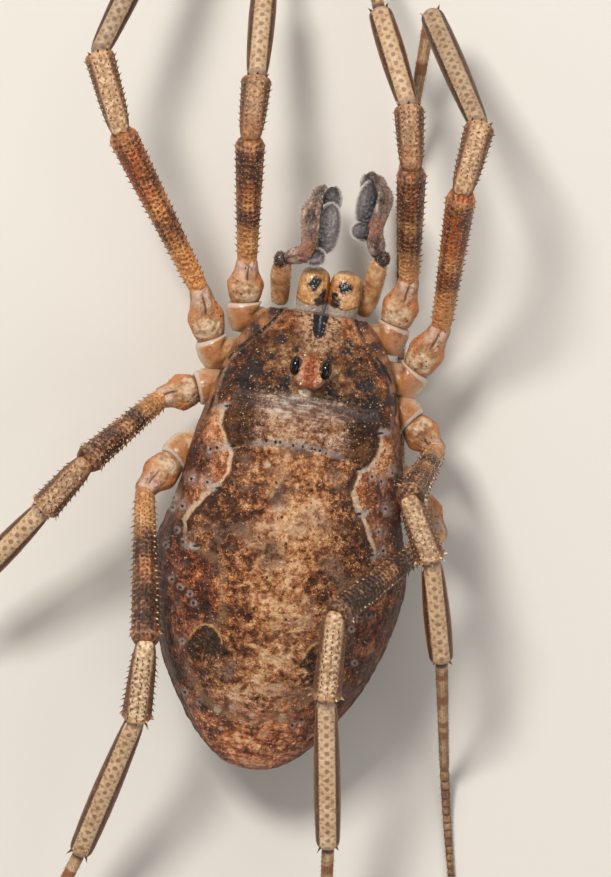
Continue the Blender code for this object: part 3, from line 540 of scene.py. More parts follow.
# The rear pits, dark within and pale along their front lip
pit = reading("pit")
pocket = fade(plus(pit, stray(patch, 2.6), stray(speckle, 1.6)), 1.3, 0.7)
colour = over(colour, (0.03, 0.013, 0.007), pocket, fade(speckle, 0.66, 0.48), 0.9)
arc_at = plus(pit, stray(speckle, 0.3))
arc = times(fade(arc_at, 0.96, 1.04), fade(arc_at, 1.18, 1.08), fade(py, 6.0, 5.8))
colour = over(colour, (0.74, 0.42, 0.16), arc, 0.7)
# Small marks: pale spots, notches, ringed dots and plain dots
for pale_x, pale_y, size in ((0.72, 7.08, 0.1), (0.47, 7.0, 0.08), (0.09, 7.1, 0.08), (-0.45, 7.08, 0.1),
                             (0.6, 7.42, 0.06), (-0.2, 7.42, 0.06), (0.15, 3.35, 0.07), (0.5, 2.62, 0.09)):
    pale_at = spot(plus(px, stray(speckle, 0.16)), py, pale_x, pale_y, size)
    colour = over(colour, (0.78, 0.58, 0.42), pale_at, 0.65)
notch = reading("notch")
around = plus(notch, stray(speckle, 0.16))
bloom = times(fade(around, 0.1, 0.04), fade(saddle_in, 0.05, -0.02))
colour = over(colour, (0.56, 0.48, 0.44), bloom, 0.8)
colour = over(colour, (0.008, 0.008, 0.01), fade(notch, 0.032, 0.016))
ringed = plus(reading("ringed"), stray(speckle, 0.05))
halo = times(fade(ringed, 0.22, 0.08), fade(py, 4.2, 3.4), fade(patch, 0.35, 0.6))
colour = over(colour, (0.62, 0.43, 0.34), halo, 0.4)
ring = times(fade(ringed, 0.085, 0.055), fade(py, 0.0, 0.1))
colour = over(colour, (0.5, 0.4, 0.35), ring, fade(patch, 0.3, 0.55), 0.7)
colour = over(colour, (0.012, 0.01, 0.01), fade(ringed, 0.034, 0.022))
colour = over(colour, (0.03, 0.018, 0.014), fade(reading("dotted"), 0.036, 0.02))
# The front: a dusky bar, pale skin round the black stripe, and the red eye hill
dusk = times(fade(unsigned(minus(py, 1.25)), 0.16, 0.03), fade(abs_x, 0.2, 0.4), fade(beyond, -0.25, -0.35))
colour = over(colour, (0.018, 0.016, 0.016), dusk, fade(speckle, 0.65, 0.45), 0.9)
stripe_x = unsigned(plus(px, 0.04))
pale_front = times(fade(plus(stripe_x, times(py, 0.35)), 0.52, 0.2), fade(py, 0.55, 0.25))
colour = over(colour, mixed(fade(speckle, 0.4, 0.56), (0.16, 0.055, 0.022), (0.74, 0.46, 0.28)),
              pale_front, 0.85)
taper = plus(stripe_x, times(py, 0.13), stray(speckle, 0.04))
round_end = plus(py, times(stripe_x, stripe_x, 9.0))
strip = times(fade(taper, 0.13, 0.11), fade(round_end, 0.27, 0.23), fade(flank_share, 0.56, 0.48))
stripe_line = times(fade(stripe_x, 0.03, 0.01), fade(speckle, 0.45, 0.6))
colour = over(colour, mixed(stripe_line, (0.018, 0.018, 0.024), (0.22, 0.21, 0.22)), strip)
hill_tone = shades(plus(speckle, times(fade(abs_x, 0.02, 0.16), 0.2)), (0.4, (0.22, 0.03, 0.012)),
                   (0.6, (0.55, 0.17, 0.07)), (0.8, (0.84, 0.5, 0.32)))
colour = over(colour, hill_tone, fade(reading("hill"), 0.25, 0.7))
# The rim over the coxae, its slit, and the knobs and dark marks along it
over_coxae = times(fade(beyond, -0.02, 0.0), fade(py, 2.3, 1.9), fade(saddle_in, -1.4, -1.2))
colour = over(colour, mixed(speckle, (0.09, 0.03, 0.014), (0.56, 0.26, 0.13)), over_coxae, 0.75)
pale_hem = times(fade(unsigned(plus(beyond, 0.015)), 0.035, 0.01), fade(py, 2.0, 1.6))
colour = over(colour, (0.44, 0.36, 0.32), pale_hem, fade(patch, 0.38, 0.55), 0.4)
slit = times(fade(unsigned(minus(beyond, 0.045)), 0.028, 0.01), fade(py, 2.0, 1.7))
colour = over(colour, (0.012, 0.01, 0.012), slit, fade(broad, 0.42, 0.52), 0.9)
colour = over(colour, mixed(speckle, (0.4, 0.13, 0.05), (0.7, 0.34, 0.16)),
              fade(reading("knob"), 0.13, 0.06), 0.8)
ink = fade(plus(reading("ink"), stray(patch, 0.5)), 0.15, 0.05)
colour = over(colour, (0.022, 0.018, 0.022), ink, 0.8)
# Painted highlight: a pale line along the front rim's edge
front_rim_highlight = times(fade(py, -0.17, -0.2), fade(flank_share, 1.3, 0.9))
colour = over(colour, (0.42, 0.28, 0.2), front_rim_highlight, 0.4)
tail_spot = spot(times(px, 0.55), plus(py, stray(speckle, 0.12)), 0.02, 1.245, 0.075, 0.6)
colour = over(colour, (1.0, 0.86, 0.66), tail_spot)
# Pepper and salt over all
pepper = times(fade(cells(at, 8.5), 0.17, 0.1), fade(cloud(at, 5), 0.42, 0.52))
colour = over(colour, (0.01, 0.008, 0.007), pepper, 0.85)
salt = times(fade(cells(body_millimetres((1, 1, 1.1)), 6.0), 0.16, 0.07), fade(cloud(at, 4), 0.48, 0.58))
colour = over(colour, (0.8, 0.64, 0.48), salt, 0.75)
end_finish(colour, plus(0.3, times(speckle, 0.3)), (grains, -0.06), (speckle, 0.08), (streaks, 0.03),
           (net, 0.04), soft=(0.06, (0.0001, 0.00005, 0.00003)), specular=0.42)
finish_piece(body_skin, "body_skin", ("carapace", "abdomen"), skin_finish)


# Eyes: two polished black lenses, one let into each side of the eye hill. Each is a ball with a thin dark
# lid round its foot, which is a ring pressed against the slope.
eye_black, at = start_finish("eye_black")
end_finish(mixed(cloud(at, 9), (0.0015, 0.0012, 0.0015), (0.007, 0.004, 0.003)),
           plus(0.03, times(cloud(at, 20), 0.05)), (cloud(at, 14), 0.003), coat=(0.35, 0.03), specular=0.3)
for side_name, side in (("left", 1), ("right", -1)):
    bpy.ops.mesh.primitive_uv_sphere_add(segments=40, ring_count=24, radius=0.14,
                                         location=(side * 0.272, 0.79, 3.04), scale=(0.76, 1.25, 0.95))
    eye = bpy.context.object
    bpy.ops.object.shade_smooth()
    finish_piece(eye, f"eye_{side_name}_lens", [f"eye_{side_name}"], eye_black)
    bpy.ops.mesh.primitive_torus_add(major_segments=40, minor_segments=10, major_radius=0.13,
                                     minor_radius=0.02, location=(side * 0.232, 0.78, 3.03),
                                     rotation=(0, side * math.radians(72), 0))
    lid = bpy.context.object
    bpy.ops.object.shade_smooth()
    finish_piece(lid, f"eye_{side_name}_lid", [], skin_finish)


# Leg segments: hollow tubes of hard skin, from the bulb of the coxa and the knobbed trochanter out to the
# jointed tarsus. Each kind is drawn out once from a filled ring, then copied to its length for every leg.
leg_lengths = {                               # of each pair, from femur to tarsus
    1: (2.5, 1.2, 2.05, 2.5, 3.4),
    2: (3.45, 1.5, 3.0, 3.2, 5.6),
    3: (2.3, 1.22, 2.05, 2.95, 3.6),
    4: (3.2, 1.6, 3.05, 3.6, 4.8),
}
coxa_roots = {1: (0.5, 0.3, 1.3), 2: (0.5, 0.75, 1.3), 3: (0.5, 1.3, 1.3), 4: (0.55, 1.85, 1.3)}
coxa_tips = {1: (1.36, -0.13, 1.68), 2: (1.84, 0.6, 1.7), 3: (1.9, 1.42, 1.66), 4: (2.17, 2.75, 1.75)}
# How each leg stands: its side, the femur's foot, the headings (azimuth, rise) of femur, patella and tibia,
# the metatarsus's azimuth, and the tarsus's azimuth and how far it turns
stance = {
    ("left", 1): (1, (1.43, -0.93, 1.75), (-83, 29.5), (-87, -22), (-86, -24), -89, (-94, -12)),
    ("right", 1): (-1, (-1.51, -1.03, 1.75), (-82, 38), (-79, -20), (-65, -24.5), -70, (-76, -18)),
    ("left", 2): (1, (2.19, -0.3, 1.85), (-54.7, 24.7), (-65.5, -11), (-106.5, -16), -104, (-92, 24)),
    ("right", 2): (-1, (-2.21, -0.29, 1.85), (-89, 46.4), (-97, -33.5), (-59.5, -40.3), 89, (98, 2)),
    ("left", 3): (1, (2.57, 1.71, 1.75), (50, 39.5), (56, -22), (54.4, -24), 56, (60, 14)),
    ("right", 3): (-1, (-2.46, 1.91, 1.75), (67.6, 64.3), (119, -15), (105, -27.3), 101.3, (101.5, 4)),
    ("left", 4): (1, (2.62, 3.4, 2.1), (100, 31.8), (91, -30.4), (75.7, -27.5), 72, (74, -12)),
    ("right", 4): (-1, (-2.72, 3.4, 2.1), (45.7, 43.6), (92.6, -18), (99.6, -27.8), 97, (99, 12)),
}
metatarsus_tip_height = 0.42
tarsus_settles = 1.2                          # length over which the tarsus comes down to the floor
tarsus_joints, tarsus_crowding = 26, 0.85
tarsus_steps = 39
femur_bow = 0.05
# Half width of each kind of segment at places from its start, 0, to its end, 1
segment_halves = {
    "coxa": ((0, 0.17), (0.3, 0.25), (0.6, 0.3), (0.78, 0.335), (0.88, 0.34), (0.93, 0.33), (0.96, 0.31),
        (0.985, 0.25), (1, 0.18)),
    "trochanter": ((-0.12, 0.15), (-0.07, 0.24), (0.05, 0.3), (0.2, 0.315), (0.4, 0.295), (0.6, 0.25),
        (0.78, 0.215), (0.92, 0.205), (1.04, 0.16)),
    "femur": ((-0.02, 0.13), (0, 0.165), (0.03, 0.19), (0.12, 0.2), (0.28, 0.21), (0.45, 0.228),
        (0.62, 0.245), (0.8, 0.262), (0.92, 0.268), (0.965, 0.262), (0.99, 0.24), (1.005, 0.17)),
    "patella": ((-0.05, 0.11), (-0.02, 0.15), (0.02, 0.18), (0.1, 0.21), (0.3, 0.245), (0.6, 0.26),
        (0.82, 0.275), (0.93, 0.28), (0.98, 0.25), (1.01, 0.17)),
    "tibia": ((-0.03, 0.11), (-0.01, 0.16), (0.02, 0.2), (0.08, 0.232), (0.25, 0.26), (0.5, 0.29),
        (0.75, 0.285), (0.9, 0.262), (0.96, 0.255), (0.985, 0.22), (1.004, 0.14)),
    "metatarsus": ((-0.02, 0.08), (0, 0.11), (0.02, 0.13), (0.06, 0.125), (0.3, 0.115), (0.33, 0.122),
        (0.36, 0.112), (0.6, 0.105), (0.63, 0.112), (0.66, 0.103), (0.94, 0.095), (0.985, 0.1),
        (1.005, 0.07)),
}
segment_corners = {
    "coxa": 16,
    "trochanter": 14,
    "femur": 12,
    "patella": 12,
    "tibia": 5,
    "metatarsus": 8,
    "tarsus": 8,
}


def aim(azimuth, elevation):
    turn, rise = math.radians(azimuth), math.radians(elevation)
    return Vector((math.cos(turn) * math.cos(rise), math.sin(turn) * math.cos(rise), math.sin(rise)))


def drawn_out(stations, corners, levels):
    """A tube along X: a filled ring is pulled out from one station (place, half width) to the next."""
    first, half_width = stations[0]
    bpy.ops.mesh.primitive_circle_add(vertices=corners, radius=half_width, fill_type="NGON",
                                      location=(first, 0, 0), rotation=(math.pi / 2, 0, math.pi / 2))
    tube = bpy.context.object
    bpy.ops.object.transform_apply(location=True, rotation=True, scale=True)
    bpy.ops.object.mode_set(mode="EDIT")
    bpy.ops.mesh.select_all(action="SELECT")
    if corners == 5:
        bpy.ops.mesh.bevel(offset=half_width * 0.3, segments=1, affect="VERTICES")
    for (near, was), (far, now) in zip(stations, stations[1:]):
        bpy.ops.mesh.extrude_region_move(TRANSFORM_OT_translate={"value": (far - near, 0, 0)})
        bpy.ops.transform.resize(value=(1, now / was, now / was), center_override=(far, 0, 0))
    bpy.ops.mesh.select_all(action="SELECT")
    bpy.ops.mesh.normals_make_consistent(inside=False)
    bpy.ops.object.mode_set(mode="OBJECT")
    applied(tube, "SUBSURF", levels=levels, render_levels=levels)
    bpy.ops.object.shade_smooth()
    return tube


def reaches(spots):
    """How far along a path each of its points lies."""
    return np.concatenate([[0], np.cumsum(np.linalg.norm(np.diff(spots, axis=0), axis=1))])


def read_path(at, reach, values):
    return np.stack([np.interp(at, reach, values[:, k]) for k in range(3)], axis=-1)


def thicken(tube, factor):
    """Widens a tube along X by a factor, one for all its points or one for each."""
    co = points_of(tube.data)
    co[:, 1:] *= np.reshape(factor, (-1, 1))
    set_points(tube.data, co)


def laid(pattern, path, bow=0.0, upright=(0, 0, 1)):
    """A copy of a drawn tube laid along a path of points, with its measures kept for the finish."""
    piece = pattern.copy()
    piece.data = pattern.data.copy()
    bpy.context.scene.collection.objects.link(piece)
    spots = np.array(path, float)
    reach = reaches(spots)
    length = reach[-1]
    co = points_of(piece.data)
    headings = np.gradient(spots, axis=0)
    headings /= np.linalg.norm(headings, axis=1)[:, None]
    at = co[:, 0] * length
    inner = np.clip(at, 0, length)
    centre = read_path(inner, reach, spots)
    along = read_path(inner, reach, headings)
    along /= np.linalg.norm(along, axis=1)[:, None]
    centre += along * (at - inner)[:, None]
    side = np.cross(upright, along)
    side /= np.linalg.norm(side, axis=1)[:, None]
    top = np.cross(along, side)
    lift = bow * np.sin(np.pi * np.clip(co[:, 0], 0, 1))
    set_points(piece.data, centre + side * co[:, 1:2] + top * (co[:, 2] + lift)[:, None])
    up = co[:, 2] / np.maximum(np.hypot(co[:, 1], co[:, 2]), 1e-6)
    for name, values in (("along", at), ("to_end", length - at), ("across", co[:, 1]), ("up", up)):
        mark(piece.data, name, values)
    return piece


def tarsus_half(share):
    return 0.1 - 0.055 * share


def leg_joints(side_name, pair):
    side, foot, *aims, metatarsus_azimuth, tarsus_aim = stance[(side_name, pair)]
    root, tip = Vector(coxa_roots[pair]), Vector(coxa_tips[pair])
    root.x *= side
    tip.x *= side
    joints = [root, tip, Vector(foot)]
    for length, heading in zip(leg_lengths[pair], aims):
        joints.append(joints[-1] + aim(*heading) * length)
    length = leg_lengths[pair][3]
    drop = math.degrees(math.asin((joints[-1].z - metatarsus_tip_height) / length))
    joints.append(joints[-1] + aim(metatarsus_azimuth, -drop) * length)
    length = leg_lengths[pair][4]
    path, place = [], joints[-1].to_2d()
    for i in range(tarsus_steps + 1):
        share = i / tarsus_steps
        resting = tarsus_half(share)
        falling = max(0.0, 1 - share * length / tarsus_settles)**2
        path.append(Vector((place.x, place.y, resting + (joints[-1].z - resting) * falling)))
        turn = math.radians(tarsus_aim[0] + tarsus_aim[1] * share)
        place += Vector((math.cos(turn), math.sin(turn))) * (length / tarsus_steps)
    return joints, path


tarsus_stations = [(-0.01, 0.06), (0.0, 0.085)]
for i in range(tarsus_joints):
    start = (i / tarsus_joints)**tarsus_crowding
    end = ((i + 1) / tarsus_joints)**tarsus_crowding
    wide = tarsus_half(end)
    tarsus_stations += [(start + (end - start) * 0.25, wide * 0.98),
                        (start + (end - start) * 0.8, wide * 1.08), (end, wide * 0.84)]
patterns = {}
for kind, corners in segment_corners.items():
    stations = tarsus_stations if kind == "tarsus" else segment_halves[kind]
    pattern = drawn_out(stations, corners, 1 if kind == "tarsus" else 2)
    patterns[kind] = pattern
    co = points_of(pattern.data)
    if kind == "tibia":
        thicken(pattern, 1.06)
    if kind == "trochanter":
        turn = np.arctan2(co[:, 2], co[:, 1])
        from_top = turn - math.pi / 2
        knob = hump(np.abs(np.cos(turn)) - 1, 0.3) * hump(co[:, 0] - 0.42, 0.17)
        crease = hump(from_top - 0.2, 0.14) * hump(co[:, 0] - 0.72, 0.22)
        crest = hump(np.abs(from_top) - 0.5, 0.3) * hump(co[:, 0] - 0.8, 0.16)
        boss = hump(from_top + 0.35, 0.5) * hump(co[:, 0] - 0.22, 0.16)
        thicken(pattern, 1 + 0.2 * knob - 0.25 * crease + 0.16 * crest + 0.08 * boss)
    if kind in ("femur", "patella"):
        hood = ease(0.86, 0.97, co[:, 0]) * (1 - ease(0.985, 1.0, co[:, 0])) * (co[:, 2] > 0)
        thicken(pattern, 1 + 0.08 * hood)

finishes = {}


def start_limb(kind, name):
    """Starts the finish of one kind of segment, and reads where a point lies on it: how far along, how far
    from its end, at what share of its length, how far across, and how much its skin faces up."""
    finishes[kind], at = start_finish(name)
    along, to_end = reading("along"), reading("to_end")
    share = calc("DIVIDE", along, plus(along, to_end))
    return at, along, to_end, share, reading("across"), reading("up")


def repeated(value, step, shift=0.0):
    """How far a point lies from the nearest of marks that come at equal steps."""
    share = calc("FRACT", plus(calc("DIVIDE", value, step), shift))
    return times(minus(share, 0.5), step)


def greatest(first, *others):
    for value in others:
        first = calc("MAXIMUM", first, value)
    return first


def ring_at(value, centre, half_width):
    """1 on a ring round a limb, 0 away from it."""
    return minus(1.0, fade(unsigned(minus(value, centre)), half_width * 0.5, half_width))


# Coxa: clear amber with a pale hem; its red-brown core and pale sides are painted shade and sheen of the
# bulb
at, along, to_end, share, across, up = start_limb("coxa", "coxa_amber")
mottle, fine = cloud(at, 3), cloud(at, 16, 3)
colour = shades(plus(times(mottle, 0.8), times(fine, 0.3)), (0.35, (0.2, 0.07, 0.02)),
                (0.5, (0.46, 0.2, 0.065)), (0.65, (0.66, 0.4, 0.19)))
# Painted shade: a red-brown core on top of the bulb, deeper where light passes through more amber
core = times(ring_at(to_end, 0.24, 0.2), fade(up, 0.3, 0.9), fade(mottle, 0.3, 0.6))
colour = over(colour, (0.36, 0.11, 0.025), core, 0.8)
# Painted sheen: the sides of the bulb are laid paler than its top
veil = times(fade(up, 0.95, 0.4), fade(up, -0.4, 0.1), fade(share, 0.5, 0.75))
colour = over(colour, (0.62, 0.47, 0.33), veil, 0.6)
rim = times(ring_at(plus(to_end, times(fine, 0.04)), 0.08, 0.032), fade(up, 0.1, 0.5))
colour = over(colour, (0.6, 0.53, 0.48), rim, 0.7)
colour = over(colour, (0.2, 0.09, 0.04), fade(to_end, 0.05, 0.03))
# Painted shade: darker towards the root, which lies under the body
colour = over(colour, (0.1, 0.045, 0.02), fade(share, 0.5, 0.3))
end_finish(colour, plus(0.18, times(fine, 0.22)), (fine, 0.016), (mottle, 0.04),
           soft=(0.25, (0.0003, 0.00014, 0.00006)), coat=(0.25, 0.2))

# Trochanter: rusty knobs at its sides, a pale boss on top and a dark crease
at, along, to_end, share, across, up = start_limb("trochanter", "trochanter_knobs")
mottle, fine, patches = cloud(at, 4), cloud(at, 18, 3), cloud(at, 7, 2)
colour = shades(plus(times(mottle, 0.7), times(fine, 0.4)), (0.38, (0.2, 0.065, 0.025)),
                (0.55, (0.45, 0.22, 0.09)), (0.7, (0.64, 0.4, 0.23)))
knobs = times(fade(plus(up, stray(mottle, 0.6)), 0.9, 0.55), ring_at(share, 0.42, 0.4))
colour = over(colour, mixed(fine, (0.42, 0.12, 0.035), (0.68, 0.27, 0.09)), knobs, 0.85)
crest = times(fade(share, 0.5, 0.85), fade(up, 0.4, 0.8))
colour = over(colour, (0.66, 0.45, 0.36), crest, 0.7)
pale_boss = times(ring_at(share, 0.18, 0.22), fade(up, 0.4, 0.8))
colour = over(colour, mixed(fine, (0.56, 0.36, 0.2), (0.84, 0.66, 0.46)), pale_boss,
              fade(mottle, 0.35, 0.55), 0.75)
crease_at = unsigned(plus(across, 0.03, stray(mottle, 0.1)))
crease = times(fade(crease_at, 0.03, 0.008), fade(up, 0.5, 0.8), ring_at(share, 0.66, 0.24))
colour = over(colour, (0.05, 0.02, 0.012), crease, 0.8)
colour = over(colour, (0.16, 0.06, 0.03), fade(patches, 0.56, 0.66), 0.5)
colour = over(colour, (0.06, 0.025, 0.015), fade(cells(at, 7), 0.16, 0.09))
end_finish(colour, plus(0.3, times(fine, 0.3)), (fine, 0.03), (cells(at, 9), -0.03),
           soft=(0.15, (0.0002, 0.0001, 0.00005)))

# Femur: rusty, with two dark bands and small dark pits at its base, sootier on some legs
at, along, to_end, share, across, up = start_limb("femur", "femur_banded")
mottle, fine, spots = cloud(at, 3.0, 3), cloud(at, 15, 3), cells(at, 9)
tone = plus(times(mottle, 0.6), times(fine, 0.55))
pale = shades(tone, (0.4, (0.2, 0.085, 0.028)), (0.55, (0.42, 0.22, 0.085)), (0.7, (0.6, 0.38, 0.18)))
dark = shades(tone, (0.44, (0.02, 0.008, 0.005)), (0.58, (0.11, 0.03, 0.01)), (0.74, (0.4, 0.15, 0.046)))
wavy = plus(share, stray(mottle, 0.28))
far_band = times(fade(wavy, 0.58, 0.68), minus(1.0, times(fade(wavy, 0.9, 0.98), 0.4)))
banding = greatest(ring_at(wavy, 0.41, 0.11), far_band)
dusky = reading("dusky")
colour = mixed(times(banding, plus(0.74, times(dusky, 0.22))), pale, dark)
rust = times(fade(cloud(at, 1.4), 0.47, 0.57), fade(share, 0.35, 0.6))
colour = over(colour, mixed(tone, (0.14, 0.03, 0.008), (0.5, 0.15, 0.034)), rust, 0.6)
sooty = shades(tone, (0.46, (0.01, 0.007, 0.006)), (0.6, (0.04, 0.024, 0.016)), (0.75, (0.22, 0.14, 0.09)))
soot = times(fade(wavy, 0.14, 0.34), plus(0.42, times(banding, 0.5)))
colour = over(colour, sooty, dusky, soot)
streak = times(fade(unsigned(minus(unsigned(across), 0.15)), 0.07, 0.02), fade(wavy, 0.2, 0.4))
colour = over(colour, (0.035, 0.014, 0.008), streak, 0.6)
astray = stray(cloud(at, 6), 0.16)
row = repeated(plus(along, astray), 0.1)
column = repeated(minus(across, times(astray, 0.5)), 0.085)
pit = plus(span(row, column), stray(fine, 0.05))
beset = times(fade(up, 0.1, 0.5), fade(mottle, 0.34, 0.52), fade(share, 0.0, 0.42))
colour = over(colour, (0.022, 0.009, 0.005), fade(pit, 0.032, 0.018), beset, 0.72)
glint = times(fade(pit, 0.038, 0.05), fade(fine, 0.46, 0.6))
colour = over(colour, (0.6, 0.36, 0.2), glint, beset, 0.32)
colour = over(colour, mixed(fine, (0.16, 0.07, 0.04), (0.6, 0.38, 0.24)), ring_at(to_end, 0.1, 0.05),
              0.28)
# Painted shade: the underside of the femur is laid darker
colour = over(colour, (0.16, 0.075, 0.035), fade(up, 0.0, -0.6), 0.5)
colour = tinted(colour, mixed(dusky, (1.62, 1.2, 0.9), (1.24, 1.13, 1.08)))
end_finish(colour, plus(0.26, times(fine, 0.3)), (fine, 0.03), (spots, -0.04), (pit, 0.3),
           soft=(0.08, (0.0002, 0.0001, 0.00005)))

# Patella: brown, with a paler dotted face on some legs
at, along, to_end, share, across, up = start_limb("patella", "patella_brown")
mottle, fine, spots = cloud(at, 4, 3), cloud(at, 16, 3), cells(at, 10)
tone = plus(times(mottle, 0.6), times(fine, 0.5))
colour = shades(tone, (0.4, (0.05, 0.02, 0.01)), (0.55, (0.22, 0.095, 0.038)), (0.7, (0.46, 0.26, 0.13)))
edge = fade(unsigned(across), 0.11, 0.2)
colour = over(colour, (0.05, 0.018, 0.009), edge, fade(mottle, 0.35, 0.6), 0.75)
pale = reading("pale")
face = shades(tone, (0.36, (0.3, 0.18, 0.095)), (0.5, (0.5, 0.36, 0.22)), (0.66, (0.74, 0.61, 0.45)))
for shift, column in ((0.0, 0.0), (0.5, 0.095)):
    dot = span(repeated(along, 0.125, shift), minus(unsigned(across), column))
    weight = times(fade(plus(dot, times(fine, 0.05)), 0.06, 0.04), fade(mottle, 0.3, 0.5))
    face = over(face, (0.13, 0.062, 0.035), weight, 0.65)
broken = plus(unsigned(across), stray(mottle, 0.12))
on_face = times(fade(broken, 0.19, 0.12), fade(up, 0.2, 0.5))
colour = over(colour, face, on_face, plus(0.3, times(pale, 0.65)))
bare = times(fade(share, 0.45, 0.15), fade(pale, 0.7, 0.4))
colour = over(colour, (0.34, 0.125, 0.04), bare, 0.4)
colour = over(colour, (0.5, 0.3, 0.16), fade(share, 0.84, 0.96), 0.5)
colour = tinted(colour, mixed(pale, (0.72, 0.5, 0.34), (1.36, 1.2, 1.06)))
colour = over(colour, (0.035, 0.016, 0.01), fade(spots, 0.2, 0.12), 0.6)
end_finish(colour, plus(0.32, times(fine, 0.3)), (fine, 0.03), (spots, -0.045))

# Tibia: brown sides and a cream face with two sizes of dots
at, along, to_end, share, across, up = start_limb("tibia", "tibia_cream_face")
mottle, fine = cloud(at, 4, 3), cloud(at, 18, 3)
tone = plus(times(mottle, 0.5), times(fine, 0.55))
sides = shades(tone, (0.4, (0.12, 0.045, 0.016)), (0.55, (0.3, 0.14, 0.055)), (0.7, (0.5, 0.3, 0.14)))
face = shades(tone, (0.36, (0.4, 0.27, 0.15)), (0.5, (0.64, 0.5, 0.32)), (0.68, (0.78, 0.68, 0.5)))
large = plus(span(repeated(along, 0.18), across), times(fine, 0.04))
face = over(face, (0.17, 0.105, 0.07), fade(large, 0.078, 0.05), 0.7)
small = span(repeated(along, 0.18, 0.5), minus(unsigned(across), 0.09))
face = over(face, (0.16, 0.1, 0.07), fade(small, 0.04, 0.02), 0.5)
on_face = times(fade(unsigned(across), 0.165, 0.14), fade(up, 0.3, 0.6))
colour = mixed(on_face, sides, face)
edge = times(fade(unsigned(minus(unsigned(across), 0.185)), 0.05, 0.018), fade(up, 0.2, 0.5))
colour = over(colour, (0.045, 0.018, 0.009), edge, fade(mottle, 0.3, 0.5), 0.85)
ends = greatest(fade(to_end, 0.14, 0.05), fade(along, 0.16, 0.06))
colour = over(colour, mixed(fine, (0.16, 0.09, 0.05), (0.6, 0.5, 0.42)), ends, 0.75)
colour = tinted(colour, mixed(reading("dusky"), (0.62, 0.52, 0.46), (1.1, 0.9, 0.79)))
end_finish(colour, plus(0.28, times(fine, 0.3)), (fine, 0.02), (mottle, 0.02),
           soft=(0.1, (0.0002, 0.0001, 0.00005)))

# Metatarsus: straw, with rings at its false joints
at, along, to_end, share, across, up = start_limb("metatarsus", "metatarsus_straw")
fine, mottle = cloud(at, 18, 3), cloud(at, 4)
colour = shades(plus(times(mottle, 0.5), times(fine, 0.5)), (0.38, (0.2, 0.085, 0.03)),
                (0.52, (0.42, 0.22, 0.09)), (0.66, (0.66, 0.46, 0.27)))
# Painted highlight: a pale streak along the top of the glassy segment
streak = times(fade(unsigned(across), 0.05, 0.02), fade(up, 0.5, 0.9))
colour = over(colour, (0.72, 0.54, 0.36), streak, 0.4)
rings = fade(to_end, 0.3, 0.08)
for ring_place, half_width in ((0.12, 0.035), (0.33, 0.05), (0.56, 0.03), (0.66, 0.05)):
    rings = greatest(rings, ring_at(share, ring_place, half_width))
colour = over(colour, (0.24, 0.075, 0.02), rings, 0.8)
colour = over(colour, (0.12, 0.06, 0.03), fade(along, 0.12, 0.04))
end_finish(colour, plus(0.3, times(fine, 0.3)), (fine, 0.02))

# Tarsus: straw, darker at each of its many joints
at, along, to_end, share, across, up = start_limb("tarsus", "tarsus_jointed")
fine, mottle = cloud(at, 20, 3), cloud(at, 3)
evened = calc("POWER", greatest(share, 0.0), 1 / tarsus_crowding)
joint = calc("FRACT", times(evened, float(tarsus_joints)))
colour = shades(plus(times(mottle, 0.5), times(fine, 0.5)), (0.38, (0.14, 0.06, 0.025)),
                (0.52, (0.3, 0.155, 0.07)), (0.66, (0.48, 0.3, 0.16)))
colour = over(colour, (0.045, 0.02, 0.012), greatest(fade(joint, 0.8, 0.95), fade(joint, 0.12, 0.02)),
              0.8)
end_finish(colour, plus(0.32, times(fine, 0.3)), (fine, 0.015))


def surface_of(piece, scale=1, shift=(0, 0, 0)):
    """The skin of a piece, for finding where a thorn stands on it."""
    return BVHTree.FromPolygons((points_of(piece.data) * scale - shift).tolist(),
                                [tuple(face.vertices) for face in piece.data.polygons])


# How dark the femur of each leg is, and how pale its patella
dusky_legs = {
    ("left", 1): 0.45,
    ("right", 1): 0.55,
    ("left", 2): 0.0,
    ("right", 2): 0.05,
    ("left", 3): 0.75,
    ("right", 3): 0.85,
    ("left", 4): 0.7,
    ("right", 4): 1.0,
}
pale_legs = {
    ("left", 1): 0.35,
    ("right", 1): 0.45,
    ("left", 2): 0.75,
    ("right", 2): 0.65,
    ("left", 3): 0.6,
    ("right", 3): 0.75,
    ("left", 4): 1.0,
    ("right", 4): 0.85,
}
leg_plans, leg_skins = {}, {}
for side_name in ("left", "right"):
    for pair in (1, 2, 3, 4):
        joints, tarsus_path = leg_joints(side_name, pair)
        leg_plans[(side_name, pair)] = (joints, tarsus_path)
        for i, kind in enumerate(patterns):
            path = tarsus_path if kind == "tarsus" else [joints[i], joints[i + 1]]
            onward = (joints[2] - joints[1]).normalized()
            if kind == "coxa":
                path = [joints[0], joints[0].lerp(joints[1], 0.5), joints[1] - onward * 0.2,
                        joints[1] + onward * 0.13]
            if kind == "trochanter":
                path = [joints[1] + onward * 0.13, joints[2] + onward * 0.08]
            piece = laid(patterns[kind], path, femur_bow if kind == "femur" else 0.0)
            leg_skins[(side_name, pair, kind)] = surface_of(piece)
            for name, amounts in (("dusky", dusky_legs), ("pale", pale_legs)):
                mark(piece.data, name, np.full(len(piece.data.vertices), amounts[(side_name, pair)]))
            own_node = [f"leg_{side_name}_{pair}_{kind}"] if kind != "trochanter" else []
            finish_piece(piece, f"leg_{side_name}_{pair}_{kind}_skin",
                         own_node, finishes[kind])
for pattern in patterns.values():
    bpy.data.objects.remove(pattern)


